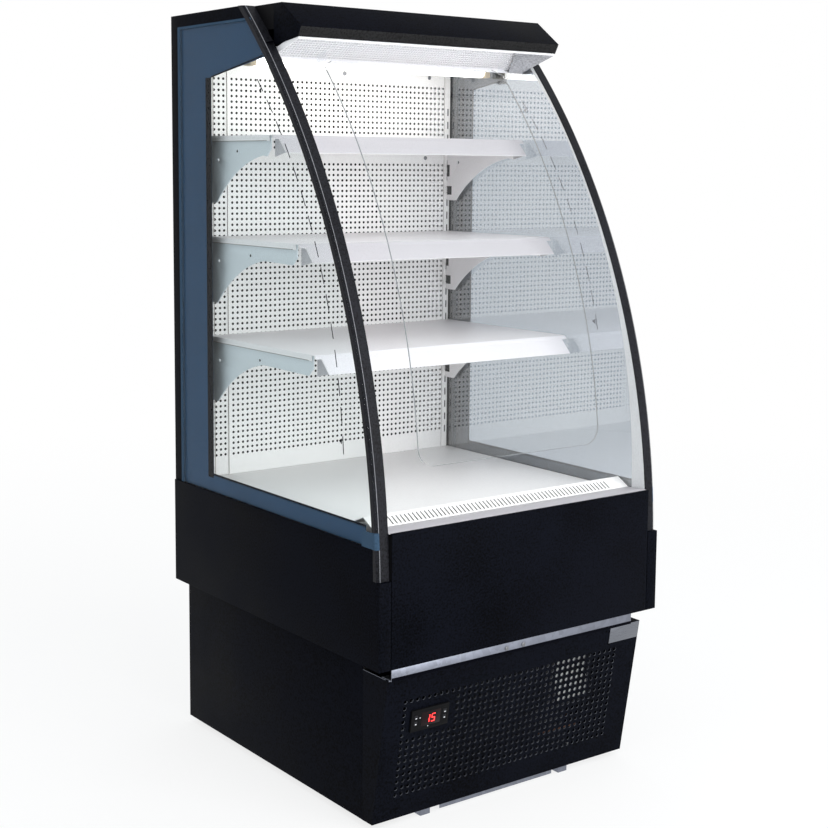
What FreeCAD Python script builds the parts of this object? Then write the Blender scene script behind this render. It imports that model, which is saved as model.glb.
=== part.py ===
import FreeCAD, Part
import math
import os
from types import SimpleNamespace

import Sketcher

# Open multideck display fridge. Millimetres, +Z up, front towards -Y, origin on the
# floor at the middle of the outer box. Distances called "back" are measured from the
# front plane, and heights are measured from what carries the piece.

SIZES = {
    # outer box
    "width": 600.0,
    "depth": 654.0,
    "height": 1316.0,
    "foot_height": 12.0,
    "base_height": 269.5,
    # metal, seats and fits
    "sheet": 1.5,
    "liner_sheet": 1.2,
    "seat_gap": 0.3,
    "running_gap": 0.06,
    # insulated sides
    "side_thickness": 22.7,
    "skirt_rise": 189.9,
    "glass_inset": 2.0,
    "pane_thickness": 4.0,
    "rear_strip": 32.0,
    "top_strip": 25.0,
    "window_to_back": 136.5,
    "window_sill": 32.6,
    "window_head_rear": 113.0,
    "window_head_front": 84.8,
    "spacer_front": 45.0,
    # curved front edge of the sides
    "curve_foot_rise": 104.7,
    "curve_foot_back": 4.7,
    "curve_head_back": 398.31,
    "curve_sag": 102.46,
    "rail_sheet": 1.6,
    "rail_flange": 9.5,
    "rail_drop": 49.4,
    # curve of the clear screen and of the inner panes, set behind the rails' curve
    "strip_foot": 39.10,
    "strip_head": 11.26,
    "strip_bulge": 19.06,
    "inner_pane_setback": 5.0,
    # lower front of the cabinet
    "panel_height": 214.5,
    "panel_gap": 1.0,
    "panel_lip": 5.7,
    "ledge_end": 51.0,
    "ledge_fall": 2.0,
    "ledge_flange": 22.0,
    "ridge_back": 76.7,
    "ridge_rise": 12.0,
    "grille_end": 125.0,
    "air_slot_first": 54.5,
    "air_slot_last": 72.0,
    "air_slot_width": 3.0,
    "air_slot_pitch": 8.0,
    "air_row_margin": 41.0,
    # insulated tub, deck and rear duct
    "tub_floor": 30.5,
    "tub_front_wall": 32.0,
    "foam_step": 4.0,
    "rear_foam": 37.0,
    "wall_to_back": 86.0,
    "deck_rise": 206.0,
    "deck_front": 127.0,
    "deck_flange": 24.0,
    "pipe_hole_radius": 24.0,
    "pipe_hole_margin": 39.0,
    "pipe_hole_to_back": 66.0,
    # perforated wall and slotted uprights
    "upright_width": 15.0,
    "wall_strip_width": 29.0,
    "slot_inset": 7.0,
    "slot_width": 3.4,
    "slot_height": 14.0,
    # shelves
    "lowest_bay_share": 0.341223,
    "shelf_bay_share": 0.234057,
    "shelf_end_gap": 2.5,
    "shelf_flange": 10.0,
    "shelf_rear_gap": 3.0,
    "depth_bottom": 340.0,
    "depth_middle": 292.0,
    "depth_top": 211.0,
    "nose_reach": 13.0,
    "nose_start": 5.0,
    "nose_fall": 6.0,
    "lip_inset": 11.5,
    "lip_reach": 22.0,
    "lip_fall": 23.5,
    "bracket_sheet": 2.0,
    "bracket_tail": 117.0,
    "bracket_foot": 28.0,
    "bracket_arc_radius": 265.0,
    "bracket_arc_reach": 185.0,
    "bracket_waist": 34.0,
    "bracket_belly": 36.0,
    "bracket_nose": 23.0,
    "bracket_nose_run": 14.0,
    "hook_rise": 10.0,
    "hook_reach": 7.0,
    "hook_drop": 20.0,
    "bracket_hole_radius": 3.0,
    "bracket_hole_back": 35.0,
    "bracket_hole_drop": 42.0,
    # canopy, air outlet, ceiling and lamp
    "canopy_end": 337.7,
    "canopy_top": 313.0,
    "canopy_nose": 255.0,
    "canopy_nose_drop": 42.0,
    "canopy_lip": 264.0,
    "canopy_lip_drop": 58.0,
    "canopy_heel": 336.0,
    "ceiling_drop": 68.0,
    "outlet_drop": 61.0,
    "outlet_run": 94.0,
    "outlet_fall": 29.0,
    "outlet_thickness": 10.0,
    "top_foam": 40.0,
    "ceiling_flange": 22.0,
    "lamp_back": 445.0,
    "lamp_drop": 83.0,
    "lamp_radius": 12.0,
    "lamp_end_gap": 25.0,
    "lamp_holder_length": 13.0,
    # clear front screen and its hangers
    "screen_side_gap": 83.0,
    "screen_thickness": 3.0,
    "screen_low": 300.5,
    "screen_drop": 89.0,
    "screen_corner": 30.0,
    "screen_cut_width": 20.0,
    "screen_cut_height": 10.0,
    "hinge_drop": 102.0,
    "clip_width": 16.0,
    "clip_thickness": 8.0,
    "clip_above": 10.0,
    "clip_below": 12.0,
    "pin_radius": 2.5,
    "pin_length": 9.0,
    "hanger_gap": 2.0,
    "hanger_sheet": 3.0,
    "hanger_half_depth": 12.0,
    "stop_low": 13.0,
    "stop_high": 6.0,
    "stop_start": 0.5,
    "stop_end": 3.0,
    "stop_width": 10.0,
    # base and front grille
    "base_side_inset": 25.5,
    "base_front": 79.0,
    "base_rear_gap": 4.0,
    "base_floor_flange": 60.0,
    "base_top_flange": 20.0,
    "grille_foot": 52.3,
    "grille_height": 248.8,
    "grille_tilt": 9.15,
    "grille_top_flange": 18.0,
    "rail_front": 4.0,
    "rail_depth": 26.0,
    "rail_end_gap": 29.5,
    "rail_gap": 0.7,
    "plate_margin": 1.5,
    "plate_width": 69.0,
    "plate_rise": 221.3,
    "plate_height": 30.4,
    "plate_thickness": 1.0,
    # controller
    "bezel_margin": 53.5,
    "bezel_width": 75.0,
    "bezel_rise": 152.0,
    "bezel_height": 37.5,
    "bezel_thickness": 4.0,
    "case_inset": 2.5,
    "case_depth": 58.0,
    "key_size": 7.0,
    "key_gap": 0.25,
    "key_length": 4.6,
    "key_proud": 0.8,
    "key_pocket": 5.0,
    "key_column": 8.7,
    "key_low": 14.5,
    "key_high": 25.0,
    "window_left": 20.0,
    "window_width": 38.0,
    "window_low": 7.0,
    "window_height": 24.0,
    "window_depth": 1.0,
    # condensing unit on its tray
    "tray_margin": 61.0,
    "tray_front": 57.0,
    "tray_lip_left": 78.0,
    "tray_lip_right": 99.0,
    "tray_lip_height": 9.0,
    "runner_left": 48.0,
    "runner_right": 73.0,
    "runner_width": 20.0,
    "condenser_margin": 7.0,
    "condenser_to_box": 11.0,
    "condenser_front": 90.0,
    "condenser_depth": 40.0,
    "condenser_height": 236.0,
    "end_plate_margin": 5.0,
    "fan_x": -50.0,
    "fan_rise": 124.0,
    "fan_radius": 98.0,
    "compressor_x": 60.0,
    "compressor_back": 430.0,
    "compressor_radius": 78.0,
    "compressor_wall": 120.0,
    "compressor_dome": 48.0,
    "compressor_plate": 185.0,
    "grommet_height": 12.0,
    "grommet_radius": 11.0,
    "stub_x": 32.0,
    "stub_radius": 8.0,
    "stub_height": 56.0,
    "box_margin": 47.0,
    "box_width": 110.0,
    "box_front": 82.0,
    "box_depth": 50.0,
    "box_rise": 96.0,
    "box_height": 104.0,
    "pan_margin": 7.0,
    "pan_to_compressor": 22.5,
    "pan_front": 330.0,
    "pan_depth": 280.0,
    "pan_height": 40.0,
    "pan_wall": 2.0,
    "drain_x": 130.0,
    "drain_back": 450.0,
    "drain_radius": 8.0,
    "drain_clear": 18.0,
    # evaporator and its fan in the tub
    "evaporator_left": 42.0,
    "evaporator_right": 77.0,
    "evaporator_front": 330.0,
    "evaporator_depth": 200.0,
    "evaporator_height": 140.0,
    "tub_fan_back": 215.0,
    "tub_fan_rise": 86.0,
    "tub_fan_radius": 68.0,
    # parts shared by both fans
    "hub_share_radius": 22.0,
    "hub_depth": 20.0,
    "hub_offset": 6.0,
    "blade_sheet": 2.0,
    "blade_half_chord": 20.0,
    "blade_rise": 14.0,
    "ring_clear": 4.0,
    "ring_depth": 20.0,
    "arm_width": 12.0,
    "arm_offset": 34.0,
    "arm_sheet": 3.0,
    "arm_reach": 8.0,
    "motor_radius": 26.0,
    "motor_length": 40.0,
    "shaft_radius": 4.0,
    "shaft_length": 52.0,
    # pipework, feet, gland and screws
    "suction_radius": 5.0,
    "liquid_radius": 3.0,
    "bend_radius": 14.0,
    "foot_margin": 34.5,
    "foot_front": 120.0,
    "foot_to_back": 60.0,
    "foot_radius": 19.0,
    "foot_pad": 7.0,
    "foot_stem": 5.0,
    "gland_margin": 84.5,
    "gland_rise": 60.0,
    "gland_radius": 9.0,
    "gland_flange": 13.0,
    "gland_proud": 3.0,
    "screw_radius": 3.8,
    "screw_height": 1.6,
    "rail_screw_left": 40.0,
    "rail_screw_right": 4.0,
    "rail_screw_drop": 10.1,
    "wall_screw_drop": 23.0,
    "wall_screw_x": 21.0,
    "wall_screw_right": 55.0,
    "low_screw_right": 63.0,
    "low_screw_drop": 34.0,
    "liquid_line_rise": 42.0,
    "liquid_line_lift": 28.0,
    "liquid_line_back": 56.0,
    "suction_loop_rise": 42.0,
    "riser_offset": 10.0,
    "grommet_inset": 22.0,
    "tub_wall_gap": 24.0,
}

COUNTS = {
    "shelves": 3,
    "shelf_slots": 26,
    "slots_per_spacing": 7,
    "slots_under_shelf": 8,
    "hooks": 2,
    "slots_between_hooks": 3,
    "fan_blades": 5,
}


class Size:
    """A length with its value in millimetres and the sheet formula that gives it."""

    def __init__(self, value, text):
        self.value = value
        self.text = text

    def __add__(self, other):
        other = as_size(other)
        return Size(self.value + other.value, f"({self.text} + {other.text})")

    def __sub__(self, other):
        other = as_size(other)
        return Size(self.value - other.value, f"({self.text} - {other.text})")

    def __mul__(self, other):
        other = as_size(other)
        return Size(self.value * other.value, f"({self.text} * {other.text})")

    def __truediv__(self, other):
        other = as_size(other)
        return Size(self.value / other.value, f"({self.text} / {other.text})")

    def __neg__(self):
        return Size(-self.value, f"(0 - {self.text})")

    def __radd__(self, other):
        return as_size(other) + self

    def __rsub__(self, other):
        return as_size(other) - self

    def __rmul__(self, other):
        return as_size(other) * self


def as_size(value):
    """A plain number counts as a Size of its own."""
    return value if isinstance(value, Size) else Size(float(value), f"({float(value):.6f})")


def sine(angle):
    return Size(math.sin(math.radians(angle.value)), f"sin({angle.text})")


def cosine(angle):
    return Size(math.cos(math.radians(angle.value)), f"cos({angle.text})")


def root(number):
    return Size(math.sqrt(number.value), f"sqrt({number.text})")


doc = FreeCAD.newDocument("display_fridge")
sheet = doc.addObject("Spreadsheet::Sheet", "Sizes")
for row, (alias, number) in enumerate(SIZES.items(), start=1):
    sheet.set(f"A{row}", alias)
    sheet.set(f"B{row}", str(number))
    sheet.setAlias(f"B{row}", alias)
doc.recompute()
d = SimpleNamespace(**{alias: Size(number, f"Sizes.{alias}") for alias, number in SIZES.items()})

# ---------------------------------------------------------------- places in the frame

front = -d.depth / 2
back = d.depth / 2
base_floor = d.foot_height
base_top = base_floor + d.base_height
skirt_top = base_top + d.skirt_rise
side_inner = d.width / 2 - d.side_thickness
side_outer = d.width / 2
glass_face = side_outer - d.glass_inset
liner_edge = side_inner - d.seat_gap
upright_edge = liner_edge - d.upright_width
wall_seam_x = upright_edge - d.wall_strip_width
slot_x = liner_edge - d.slot_inset
base_half = side_outer - d.base_side_inset
wall_face = back - d.wall_to_back
deck_top = base_top + d.deck_rise
panel_top = base_top + d.panel_height
tub_floor = base_top + d.tub_floor
pipe_hole_x = liner_edge - d.pipe_hole_margin
ceiling = d.height - d.ceiling_drop
inner_height = ceiling - deck_top
lowest_shelf = deck_top + inner_height * d.lowest_bay_share
shelf_spacing = inner_height * d.shelf_bay_share
shelf_tops = [lowest_shelf + index * shelf_spacing for index in range(COUNTS["shelves"])]
slot_pitch = shelf_spacing / COUNTS["slots_per_spacing"]
hinge_z = d.height - d.hinge_drop


def behind(offset):
    """A place along Y, measured back from the front plane."""
    return front + offset


def arc_between(foot_back, head_back, sag):
    """Centre and radius of an arc from the curves' foot to the top of the cabinet."""
    foot = base_top + d.curve_foot_rise
    run = head_back - foot_back
    rise = d.height - foot
    chord = run * run + rise * rise
    radius = chord / (8 * sag) + sag / 2
    reach = (radius - sag) / root(chord)
    centre_y = behind((foot_back + head_back) / 2 + rise * reach)
    centre_z = (foot + d.height) / 2 - run * reach
    return centre_y, centre_z, radius


rail_arc = arc_between(d.curve_foot_back, d.curve_head_back, d.curve_sag)
screen_arc = arc_between(
    d.curve_foot_back + d.strip_foot, d.curve_head_back + d.strip_head, d.curve_sag + d.strip_bulge
)


def arc_y(arc, height, inset):
    """Y of an arc's front at a height, moved in by inset."""
    centre_y, centre_z, radius = arc
    radius = radius - inset
    rise = height - centre_z
    return centre_y - root(radius * radius - rise * rise)


def curve_y(height, inset):
    """Y of the sides' curved front edge at a height, moved in by inset."""
    return arc_y(rail_arc, height, inset)


def screen_y(height, inset):
    """Y of the clear screen's front face at a height, moved in by inset."""
    return arc_y(screen_arc, height, inset)


def on_grille(along, inward):
    """Y and Z of a place on the leaning front grille, from its lower front edge."""
    tilt = d.grille_tilt
    y = behind(d.grille_foot) - along * sine(tilt) + inward * cosine(tilt)
    z = base_floor + along * cosine(tilt) + inward * sine(tilt)
    return y, z


# ---------------------------------------------------------------- drawing helpers


def bind(thing, prop, size):
    thing.setExpression(prop, as_size(size).text)


def place(thing, x, y, z):
    """Tie a piece's position to the sheet; None leaves a coordinate at zero."""
    for letter, size in zip("xyz", (x, y, z)):
        if size is not None:
            bind(thing, f"Placement.Base.{letter}", size)


def box(name, x, y, z):
    """A block between two places along each axis."""
    part = doc.addObject("Part::Box", name)
    bind(part, "Length", x[1] - x[0])
    bind(part, "Width", y[1] - y[0])
    bind(part, "Height", z[1] - z[0])
    place(part, x[0], y[0], z[0])
    return part


def rod(name, axis, radius, start, length):
    """A cylinder from a start point along +X, +Y or +Z."""
    turns = {
        "x": FreeCAD.Rotation(FreeCAD.Vector(0, 1, 0), 90),
        "y": FreeCAD.Rotation(FreeCAD.Vector(1, 0, 0), -90),
        "z": FreeCAD.Rotation(),
    }
    part = doc.addObject("Part::Cylinder", name)
    part.Placement = FreeCAD.Placement(FreeCAD.Vector(), turns[axis])
    bind(part, "Radius", radius)
    bind(part, "Height", length)
    place(part, *start)
    return part


def leaning_box(name, x, along, inward):
    """A block in the front grille's plane."""
    part = doc.addObject("Part::Box", name)
    tilt = FreeCAD.Rotation(FreeCAD.Vector(1, 0, 0), d.grille_tilt.value)
    part.Placement = FreeCAD.Placement(FreeCAD.Vector(), tilt)
    bind(part, "Placement.Rotation.Angle", d.grille_tilt)
    bind(part, "Length", x[1] - x[0])
    bind(part, "Width", inward[1] - inward[0])
    bind(part, "Height", along[1] - along[0])
    place(part, x[0], *on_grille(along[0], inward[0]))
    return part


def fuse(name, *parts):
    joined = doc.addObject("Part::MultiFuse", name)
    joined.Shapes = list(parts)
    return joined


def cut(name, base, *tools):
    tool = tools[0] if len(tools) == 1 else fuse(name + "_tools", *tools)
    rest = doc.addObject("Part::Cut", name)
    rest.Base = base
    rest.Tool = tool
    return rest


def common(name, first, second):
    shared = doc.addObject("Part::Common", name)
    shared.Base = first
    shared.Tool = second
    return shared


def group(name, *parts):
    """Separate solids that share one name."""
    bundle = doc.addObject("Part::Compound", name)
    bundle.Links = list(parts)
    return bundle


def origin_item(body, role):
    return next(item for item in body.Origin.OriginFeatures if item.Role == role)


def tie_point(sketch, geo, end, u, v):
    """Hold a point of the sketch at u, v from its origin."""
    for kind, size in (("DistanceX", u), ("DistanceY", v)):
        size = as_size(size)
        index = sketch.addConstraint(Sketcher.Constraint(kind, -1, 1, geo, end, size.value))
        sketch.setExpression(f"Constraints[{index}]", size.text)


def tie_radius(sketch, geo, size):
    index = sketch.addConstraint(Sketcher.Constraint("Radius", geo, size.value))
    sketch.setExpression(f"Constraints[{index}]", size.text)


def add_line(sketch, here, there):
    start, end = (FreeCAD.Vector(as_size(p[0]).value, as_size(p[1]).value, 0) for p in (here, there))
    return sketch.addGeometry(Part.LineSegment(start, end), False), 1, 2


def add_arc(sketch, here, there, turn):
    """An arc of under a half circle; turn is "left" or "right" of the way from here to there."""
    size = here[2]
    start, end = (FreeCAD.Vector(as_size(p[0]).value, as_size(p[1]).value, 0) for p in (here, there))
    chord = end - start
    side = 1 if turn == "left" else -1
    height = math.sqrt(size.value ** 2 - (chord.Length / 2) ** 2)
    middle = (start + end) / 2
    centre = middle + FreeCAD.Vector(-chord.y, chord.x, 0) / chord.Length * height * side
    first, last = (start, end) if turn == "left" else (end, start)
    angles = [math.atan2(p.y - centre.y, p.x - centre.x) for p in (first, last)]
    circle = Part.Circle(centre, FreeCAD.Vector(0, 0, 1), size.value)
    geo = sketch.addGeometry(Part.ArcOfCircle(circle, *angles), False)
    tie_radius(sketch, geo, size)
    return (geo, 1, 2) if turn == "left" else (geo, 2, 1)


def add_outline(sketch, outline):
    """A closed outline; a corner written (u, v, radius, turn) starts an arc."""
    edges = []
    for here, there in zip(outline, outline[1:] + outline[:1]):
        edges.append(add_line(sketch, here, there) if len(here) == 2 else add_arc(sketch, here, there, here[3]))
    for index, (geo, start, end) in enumerate(edges):
        following = edges[(index + 1) % len(edges)]
        sketch.addConstraint(Sketcher.Constraint("Coincident", geo, end, following[0], following[1]))
        tie_point(sketch, geo, start, outline[index][0], outline[index][1])


def add_circle(sketch, u, v, radius):
    centre = FreeCAD.Vector(as_size(u).value, as_size(v).value, 0)
    geo = sketch.addGeometry(Part.Circle(centre, FreeCAD.Vector(0, 0, 1), radius.value), False)
    tie_radius(sketch, geo, radius)
    tie_point(sketch, geo, 3, u, v)


def draw(body, plane, name, outlines=(), circles=()):
    sketch = body.newObject("Sketcher::SketchObject", name)
    sketch.AttachmentSupport = [(origin_item(body, plane + "_Plane"), "")]
    sketch.MapMode = "FlatFace"
    for outline in outlines:
        add_outline(sketch, outline)
    for circle in circles:
        add_circle(sketch, *circle)
    return sketch


def extrude(body, sketch, length):
    feature = body.newObject("PartDesign::Pad", sketch.Name + "_pad")
    feature.Profile = sketch
    bind(feature, "Length", length)
    return feature


def plate(name, plane, span, outlines, circles=()):
    """An outline drawn on XY, XZ or YZ and thickened across it, between two places."""
    body = doc.addObject("PartDesign::Body", name)
    sketch = draw(body, plane, name + "_outline", outlines, circles)
    extrude(body, sketch, span[1] - span[0])
    if plane == "YZ":
        place(body, span[0], None, None)
    elif plane == "XZ":
        place(body, None, span[1], None)
    else:
        place(body, None, None, span[0])
    return body


def offset_path(path, thickness, side):
    """The same path moved sideways by a thickness, with mitred corners."""
    spots = [(as_size(u).value, as_size(v).value) for u, v in path]
    normals = []
    for (u0, v0), (u1, v1) in zip(spots, spots[1:]):
        length = math.hypot(u1 - u0, v1 - v0)
        normals.append(((v0 - v1) / length * side, (u1 - u0) / length * side))
    moved = []
    for index, (u, v) in enumerate(path):
        first = normals[max(index - 1, 0)]
        last = normals[min(index, len(normals) - 1)]
        share = 1 + first[0] * last[0] + first[1] * last[1]
        moved.append(
            (u + thickness * ((first[0] + last[0]) / share), v + thickness * ((first[1] + last[1]) / share))
        )
    return moved


def fold(path, thickness, side):
    """Closed outline of a bent sheet; side 1 puts the thickness left of the path, -1 right."""
    return list(path) + offset_path(path, thickness, side)[::-1]


def mirrored(side, near, far):
    """A span across X on one side: near and far are distances from the middle."""
    return (near, far) if side > 0 else (-far, -near)


def rectangle(u, v):
    return [(u[0], v[0]), (u[1], v[0]), (u[1], v[1]), (u[0], v[1])]


SIDES = {"left": -1, "right": 1}

# ---------------------------------------------------------------- insulated sides


def make_skirt(name, side):
    """Insulated lower part of a side, notched for the foot of the curved rail."""
    notch_z = skirt_top - d.rail_drop - d.seat_gap
    notch_y = curve_y(skirt_top, 0) + d.rail_flange + d.seat_gap
    outline = [
        (front, base_top),
        (back, base_top),
        (back, skirt_top),
        (notch_y, skirt_top),
        (notch_y, notch_z),
        (front, notch_z),
    ]
    return plate(name, "YZ", mirrored(side, side_inner, side_outer), [outline])


def curved_band(low, high, outer_inset, inner_inset, curve, radius):
    """Outline between two curves of the same centre, cut level at two heights."""
    return [
        (curve(low, outer_inset), low, radius - outer_inset, "right"),
        (curve(high, outer_inset), high),
        (curve(high, inner_inset), high, radius - inner_inset, "left"),
        (curve(low, inner_inset), low),
    ]


def make_rail(name, side):
    """Curved front rail: a face strip and an outer side flange."""
    low = skirt_top - d.rail_drop
    face = curved_band(low, d.height, as_size(0), d.rail_sheet, curve_y, rail_arc[2])
    flange = curved_band(low, d.height, as_size(0), d.rail_flange, curve_y, rail_arc[2])
    strip = plate(name + "_face", "YZ", mirrored(side, side_inner, side_outer), [face])
    edge = plate(name + "_edge", "YZ", mirrored(side, side_outer - d.rail_sheet, side_outer), [flange])
    return fuse(name, strip, edge)


pane_low = skirt_top + d.seat_gap
pane_high = d.height - d.top_strip - d.seat_gap
pane_rear = back - d.rear_strip - d.seat_gap
edge_inset = d.rail_sheet + d.seat_gap
inner_edge_inset = d.inner_pane_setback


def make_glass(name, side):
    """Outer and inner pane of one side."""
    outer = [
        (pane_rear, pane_low),
        (pane_rear, pane_high),
        (curve_y(pane_high, edge_inset), pane_high, rail_arc[2] - edge_inset, "left"),
        (curve_y(pane_low, edge_inset), pane_low),
    ]
    inner = [
        (pane_rear, pane_low),
        (pane_rear, pane_high),
        (screen_y(pane_high, inner_edge_inset), pane_high, screen_arc[2] - inner_edge_inset, "left"),
        (screen_y(pane_low, inner_edge_inset), pane_low),
    ]
    outer_span = mirrored(side, glass_face - d.pane_thickness, glass_face)
    inner_span = mirrored(side, side_inner, side_inner + d.pane_thickness)
    return group(
        name,
        plate(name + "_outer", "YZ", outer_span, [outer]),
        plate(name + "_inner", "YZ", inner_span, [inner]),
    )


def make_glazing_frame(name, side):
    """Insulating border between the panes: rear post, sill and head, open at the front."""
    sill = pane_low + d.window_sill
    window_rear = back - d.window_to_back
    head_rear = d.height - d.window_head_rear
    head_front = d.height - d.window_head_front
    outline = [
        (behind(d.spacer_front), pane_low),
        (pane_rear, pane_low),
        (pane_rear, pane_high),
        (curve_y(pane_high, edge_inset), pane_high, rail_arc[2] - edge_inset, "left"),
        (curve_y(head_front, edge_inset), head_front),
        (window_rear, head_rear),
        (window_rear, sill),
        (behind(d.spacer_front), sill),
    ]
    near = side_inner + d.pane_thickness + d.seat_gap
    far = glass_face - d.pane_thickness - d.seat_gap
    return plate(name, "YZ", mirrored(side, near, far), [outline])


def make_edge_strip(name, side):
    """Pale strip that closes the gap between the curved rail and the inner pane."""
    rear_inset = inner_edge_inset - d.seat_gap
    outline = [
        (screen_y(pane_low, rear_inset), pane_low, screen_arc[2] - rear_inset, "right"),
        (screen_y(pane_high, rear_inset), pane_high),
        (curve_y(pane_high, edge_inset), pane_high, rail_arc[2] - edge_inset, "left"),
        (curve_y(pane_low, edge_inset), pane_low),
    ]
    return plate(name, "YZ", mirrored(side, side_inner, side_inner + d.pane_thickness), [outline])


def make_trim(name, side):
    """Black rear post and top bar that hold the panes."""
    outline = [
        (back, skirt_top),
        (back, d.height),
        (curve_y(d.height, edge_inset), d.height, rail_arc[2] - edge_inset, "left"),
        (curve_y(d.height - d.top_strip, edge_inset), d.height - d.top_strip),
        (back - d.rear_strip, d.height - d.top_strip),
        (back - d.rear_strip, skirt_top),
    ]
    return plate(name, "YZ", mirrored(side, side_inner, glass_face), [outline])


nodes = []
for word, side in SIDES.items():
    nodes.append(make_skirt("side_skirt_" + word, side))
    nodes.append(make_rail("side_rail_" + word, side))
    nodes.append(make_glass("side_glass_" + word, side))
    nodes.append(make_trim("side_trim_" + word, side))
nodes.append(group("glazing_frames", *(make_glazing_frame("glazing_" + w, s) for w, s in SIDES.items())))
nodes.append(group("edge_strips", *(make_edge_strip("edge_strip_" + w, s) for w, s in SIDES.items())))

# ---------------------------------------------------------------- insulated body and its skins


def make_foamed_body():
    """Insulated tub, rear wall and roof as one C section, with holes for pipes and drain."""
    skin = front + d.sheet + d.seat_gap
    outline = [
        (skin, base_top),
        (back - d.sheet, base_top),
        (back - d.sheet, d.height - d.sheet),
        (behind(d.canopy_end + d.seat_gap), d.height - d.sheet),
        (behind(d.canopy_end + d.seat_gap), d.height - d.sheet - d.top_foam),
        (back - d.rear_foam, d.height - d.sheet - d.top_foam),
        (back - d.rear_foam, tub_floor),
        (behind(d.tub_front_wall), tub_floor),
        (behind(d.tub_front_wall), panel_top - d.foam_step),
        (skin, panel_top - d.foam_step),
    ]
    solid = plate("foam_section", "YZ", (-liner_edge, liner_edge), [outline])
    pipe_start = (pipe_hole_x, back - d.pipe_hole_to_back, base_top)
    pipe_hole = rod("foam_pipe_hole", "z", d.pipe_hole_radius, pipe_start, d.tub_floor)
    drain_start = (-d.drain_x, behind(d.drain_back), base_top)
    drain_hole = rod("foam_drain_hole", "z", d.drain_radius + d.seat_gap, drain_start, d.tub_floor)
    return cut("foamed_body", solid, pipe_hole, drain_hole)


def make_front_panel():
    """Black front panel with a narrow lip turned back at its top."""
    half = side_inner - d.panel_gap
    path = [(front, base_top), (front, panel_top), (behind(d.panel_lip), panel_top)]
    return plate("front_panel", "YZ", (-half, half), [fold(path, d.sheet, -1)])


def make_front_ledge():
    """White ledge behind the panel's lip, turned down into the tub."""
    ledge_low = panel_top - d.ledge_fall
    path = [
        (behind(d.panel_lip + d.seat_gap), panel_top),
        (behind(d.ledge_end), ledge_low),
        (behind(d.ledge_end), ledge_low - d.ledge_flange),
    ]
    return plate("front_ledge", "YZ", (-liner_edge, liner_edge), [fold(path, d.sheet, -1)])


def make_return_grille():
    """Ridge-shaped air return with a row of slots in its front slope."""
    path = [
        (behind(d.ledge_end + d.seat_gap), panel_top - d.ledge_fall),
        (behind(d.ridge_back), panel_top + d.ridge_rise),
        (behind(d.grille_end), deck_top + d.seat_gap),
    ]
    body = plate("return_grille", "YZ", (-liner_edge, liner_edge), [fold(path, d.sheet, -1)])
    half_row = liner_edge - d.air_row_margin
    first_slot = liner_edge - half_row
    across = (first_slot, first_slot + d.air_slot_width)
    slot = rectangle(across, (behind(d.air_slot_first), behind(d.air_slot_last)))
    sketch = draw(body, "XY", "air_slot", [slot])
    pocket = body.newObject("PartDesign::Pocket", "air_slot_pocket")
    pocket.Profile = sketch
    pocket.Type = "ThroughAll"
    pocket.Midplane = True
    row = body.newObject("PartDesign::LinearPattern", "air_slot_row")
    row.Originals = [pocket]
    row.Direction = (sketch, ["H_Axis"])
    row_length = 2 * half_row - d.air_slot_width
    bind(row, "Length", row_length)
    row.Occurrences = int(row_length.value // d.air_slot_pitch.value) + 1
    body.Tip = row
    return body


def make_deck():
    """White deck over the tub, turned down at the front and both ends."""
    under = deck_top - d.liner_sheet
    low = deck_top - d.deck_flange
    y = (behind(d.deck_front), wall_face - d.seat_gap)
    top = box("deck_top", (-liner_edge, liner_edge), y, (under, deck_top))
    nose = box("deck_nose", (-liner_edge, liner_edge), (y[0], y[0] + d.liner_sheet), (low, deck_top))
    ends = [
        box("deck_end_" + w, mirrored(s, liner_edge - d.liner_sheet, liner_edge), y, (low, deck_top))
        for w, s in SIDES.items()
    ]
    return fuse("deck", top, nose, *ends)


nodes.append(make_foamed_body())
nodes.append(make_front_panel())
nodes.append(make_front_ledge())
nodes.append(make_return_grille())
nodes.append(make_deck())
nodes.append(box("back_panel", (-liner_edge, liner_edge), (back - d.sheet, back), (base_top, d.height)))
top_start = behind(d.canopy_end + d.seat_gap)
top_end = back - d.sheet - d.seat_gap
nodes.append(box("top_panel", (-liner_edge, liner_edge), (top_start, top_end), (d.height - d.sheet, d.height)))

# ---------------------------------------------------------------- rear air wall and uprights

wall_y = (wall_face, wall_face + d.liner_sheet)
wall_z = (deck_top, ceiling - d.seat_gap)
first_slot_z = shelf_tops[0] - d.hook_drop - COUNTS["slots_under_shelf"] * slot_pitch


def make_upright(name, side):
    """Channel in the rear corner with a column of slots for the shelf hooks."""
    near, far = mirrored(side, upright_edge, liner_edge)
    rear = back - d.rear_foam - d.seat_gap
    path = [(near, rear), (near, wall_face), (far, wall_face), (far, rear)]
    body = plate(name, "XY", wall_z, [fold(path, d.sheet, 1)])
    middle = side * slot_x
    across = (middle - d.slot_width / 2, middle + d.slot_width / 2)
    low = first_slot_z - d.slot_height / 2 - wall_z[0]
    sketch = draw(body, "XZ", name + "_slot", [rectangle(across, (low, low + d.slot_height))])
    sketch.AttachmentOffset = FreeCAD.Placement(FreeCAD.Vector(0, 0, -wall_face.value), FreeCAD.Rotation())
    sketch.setExpression("AttachmentOffset.Base.z", (-wall_face).text)
    pocket = body.newObject("PartDesign::Pocket", name + "_pocket")
    pocket.Profile = sketch
    bind(pocket, "Length", 2 * d.sheet)
    pocket.Midplane = True
    column = body.newObject("PartDesign::LinearPattern", name + "_slots")
    column.Originals = [pocket]
    column.Direction = (sketch, ["V_Axis"])
    bind(column, "Length", slot_pitch * (COUNTS["shelf_slots"] - 1))
    column.Occurrences = COUNTS["shelf_slots"]
    body.Tip = column
    return body


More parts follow.
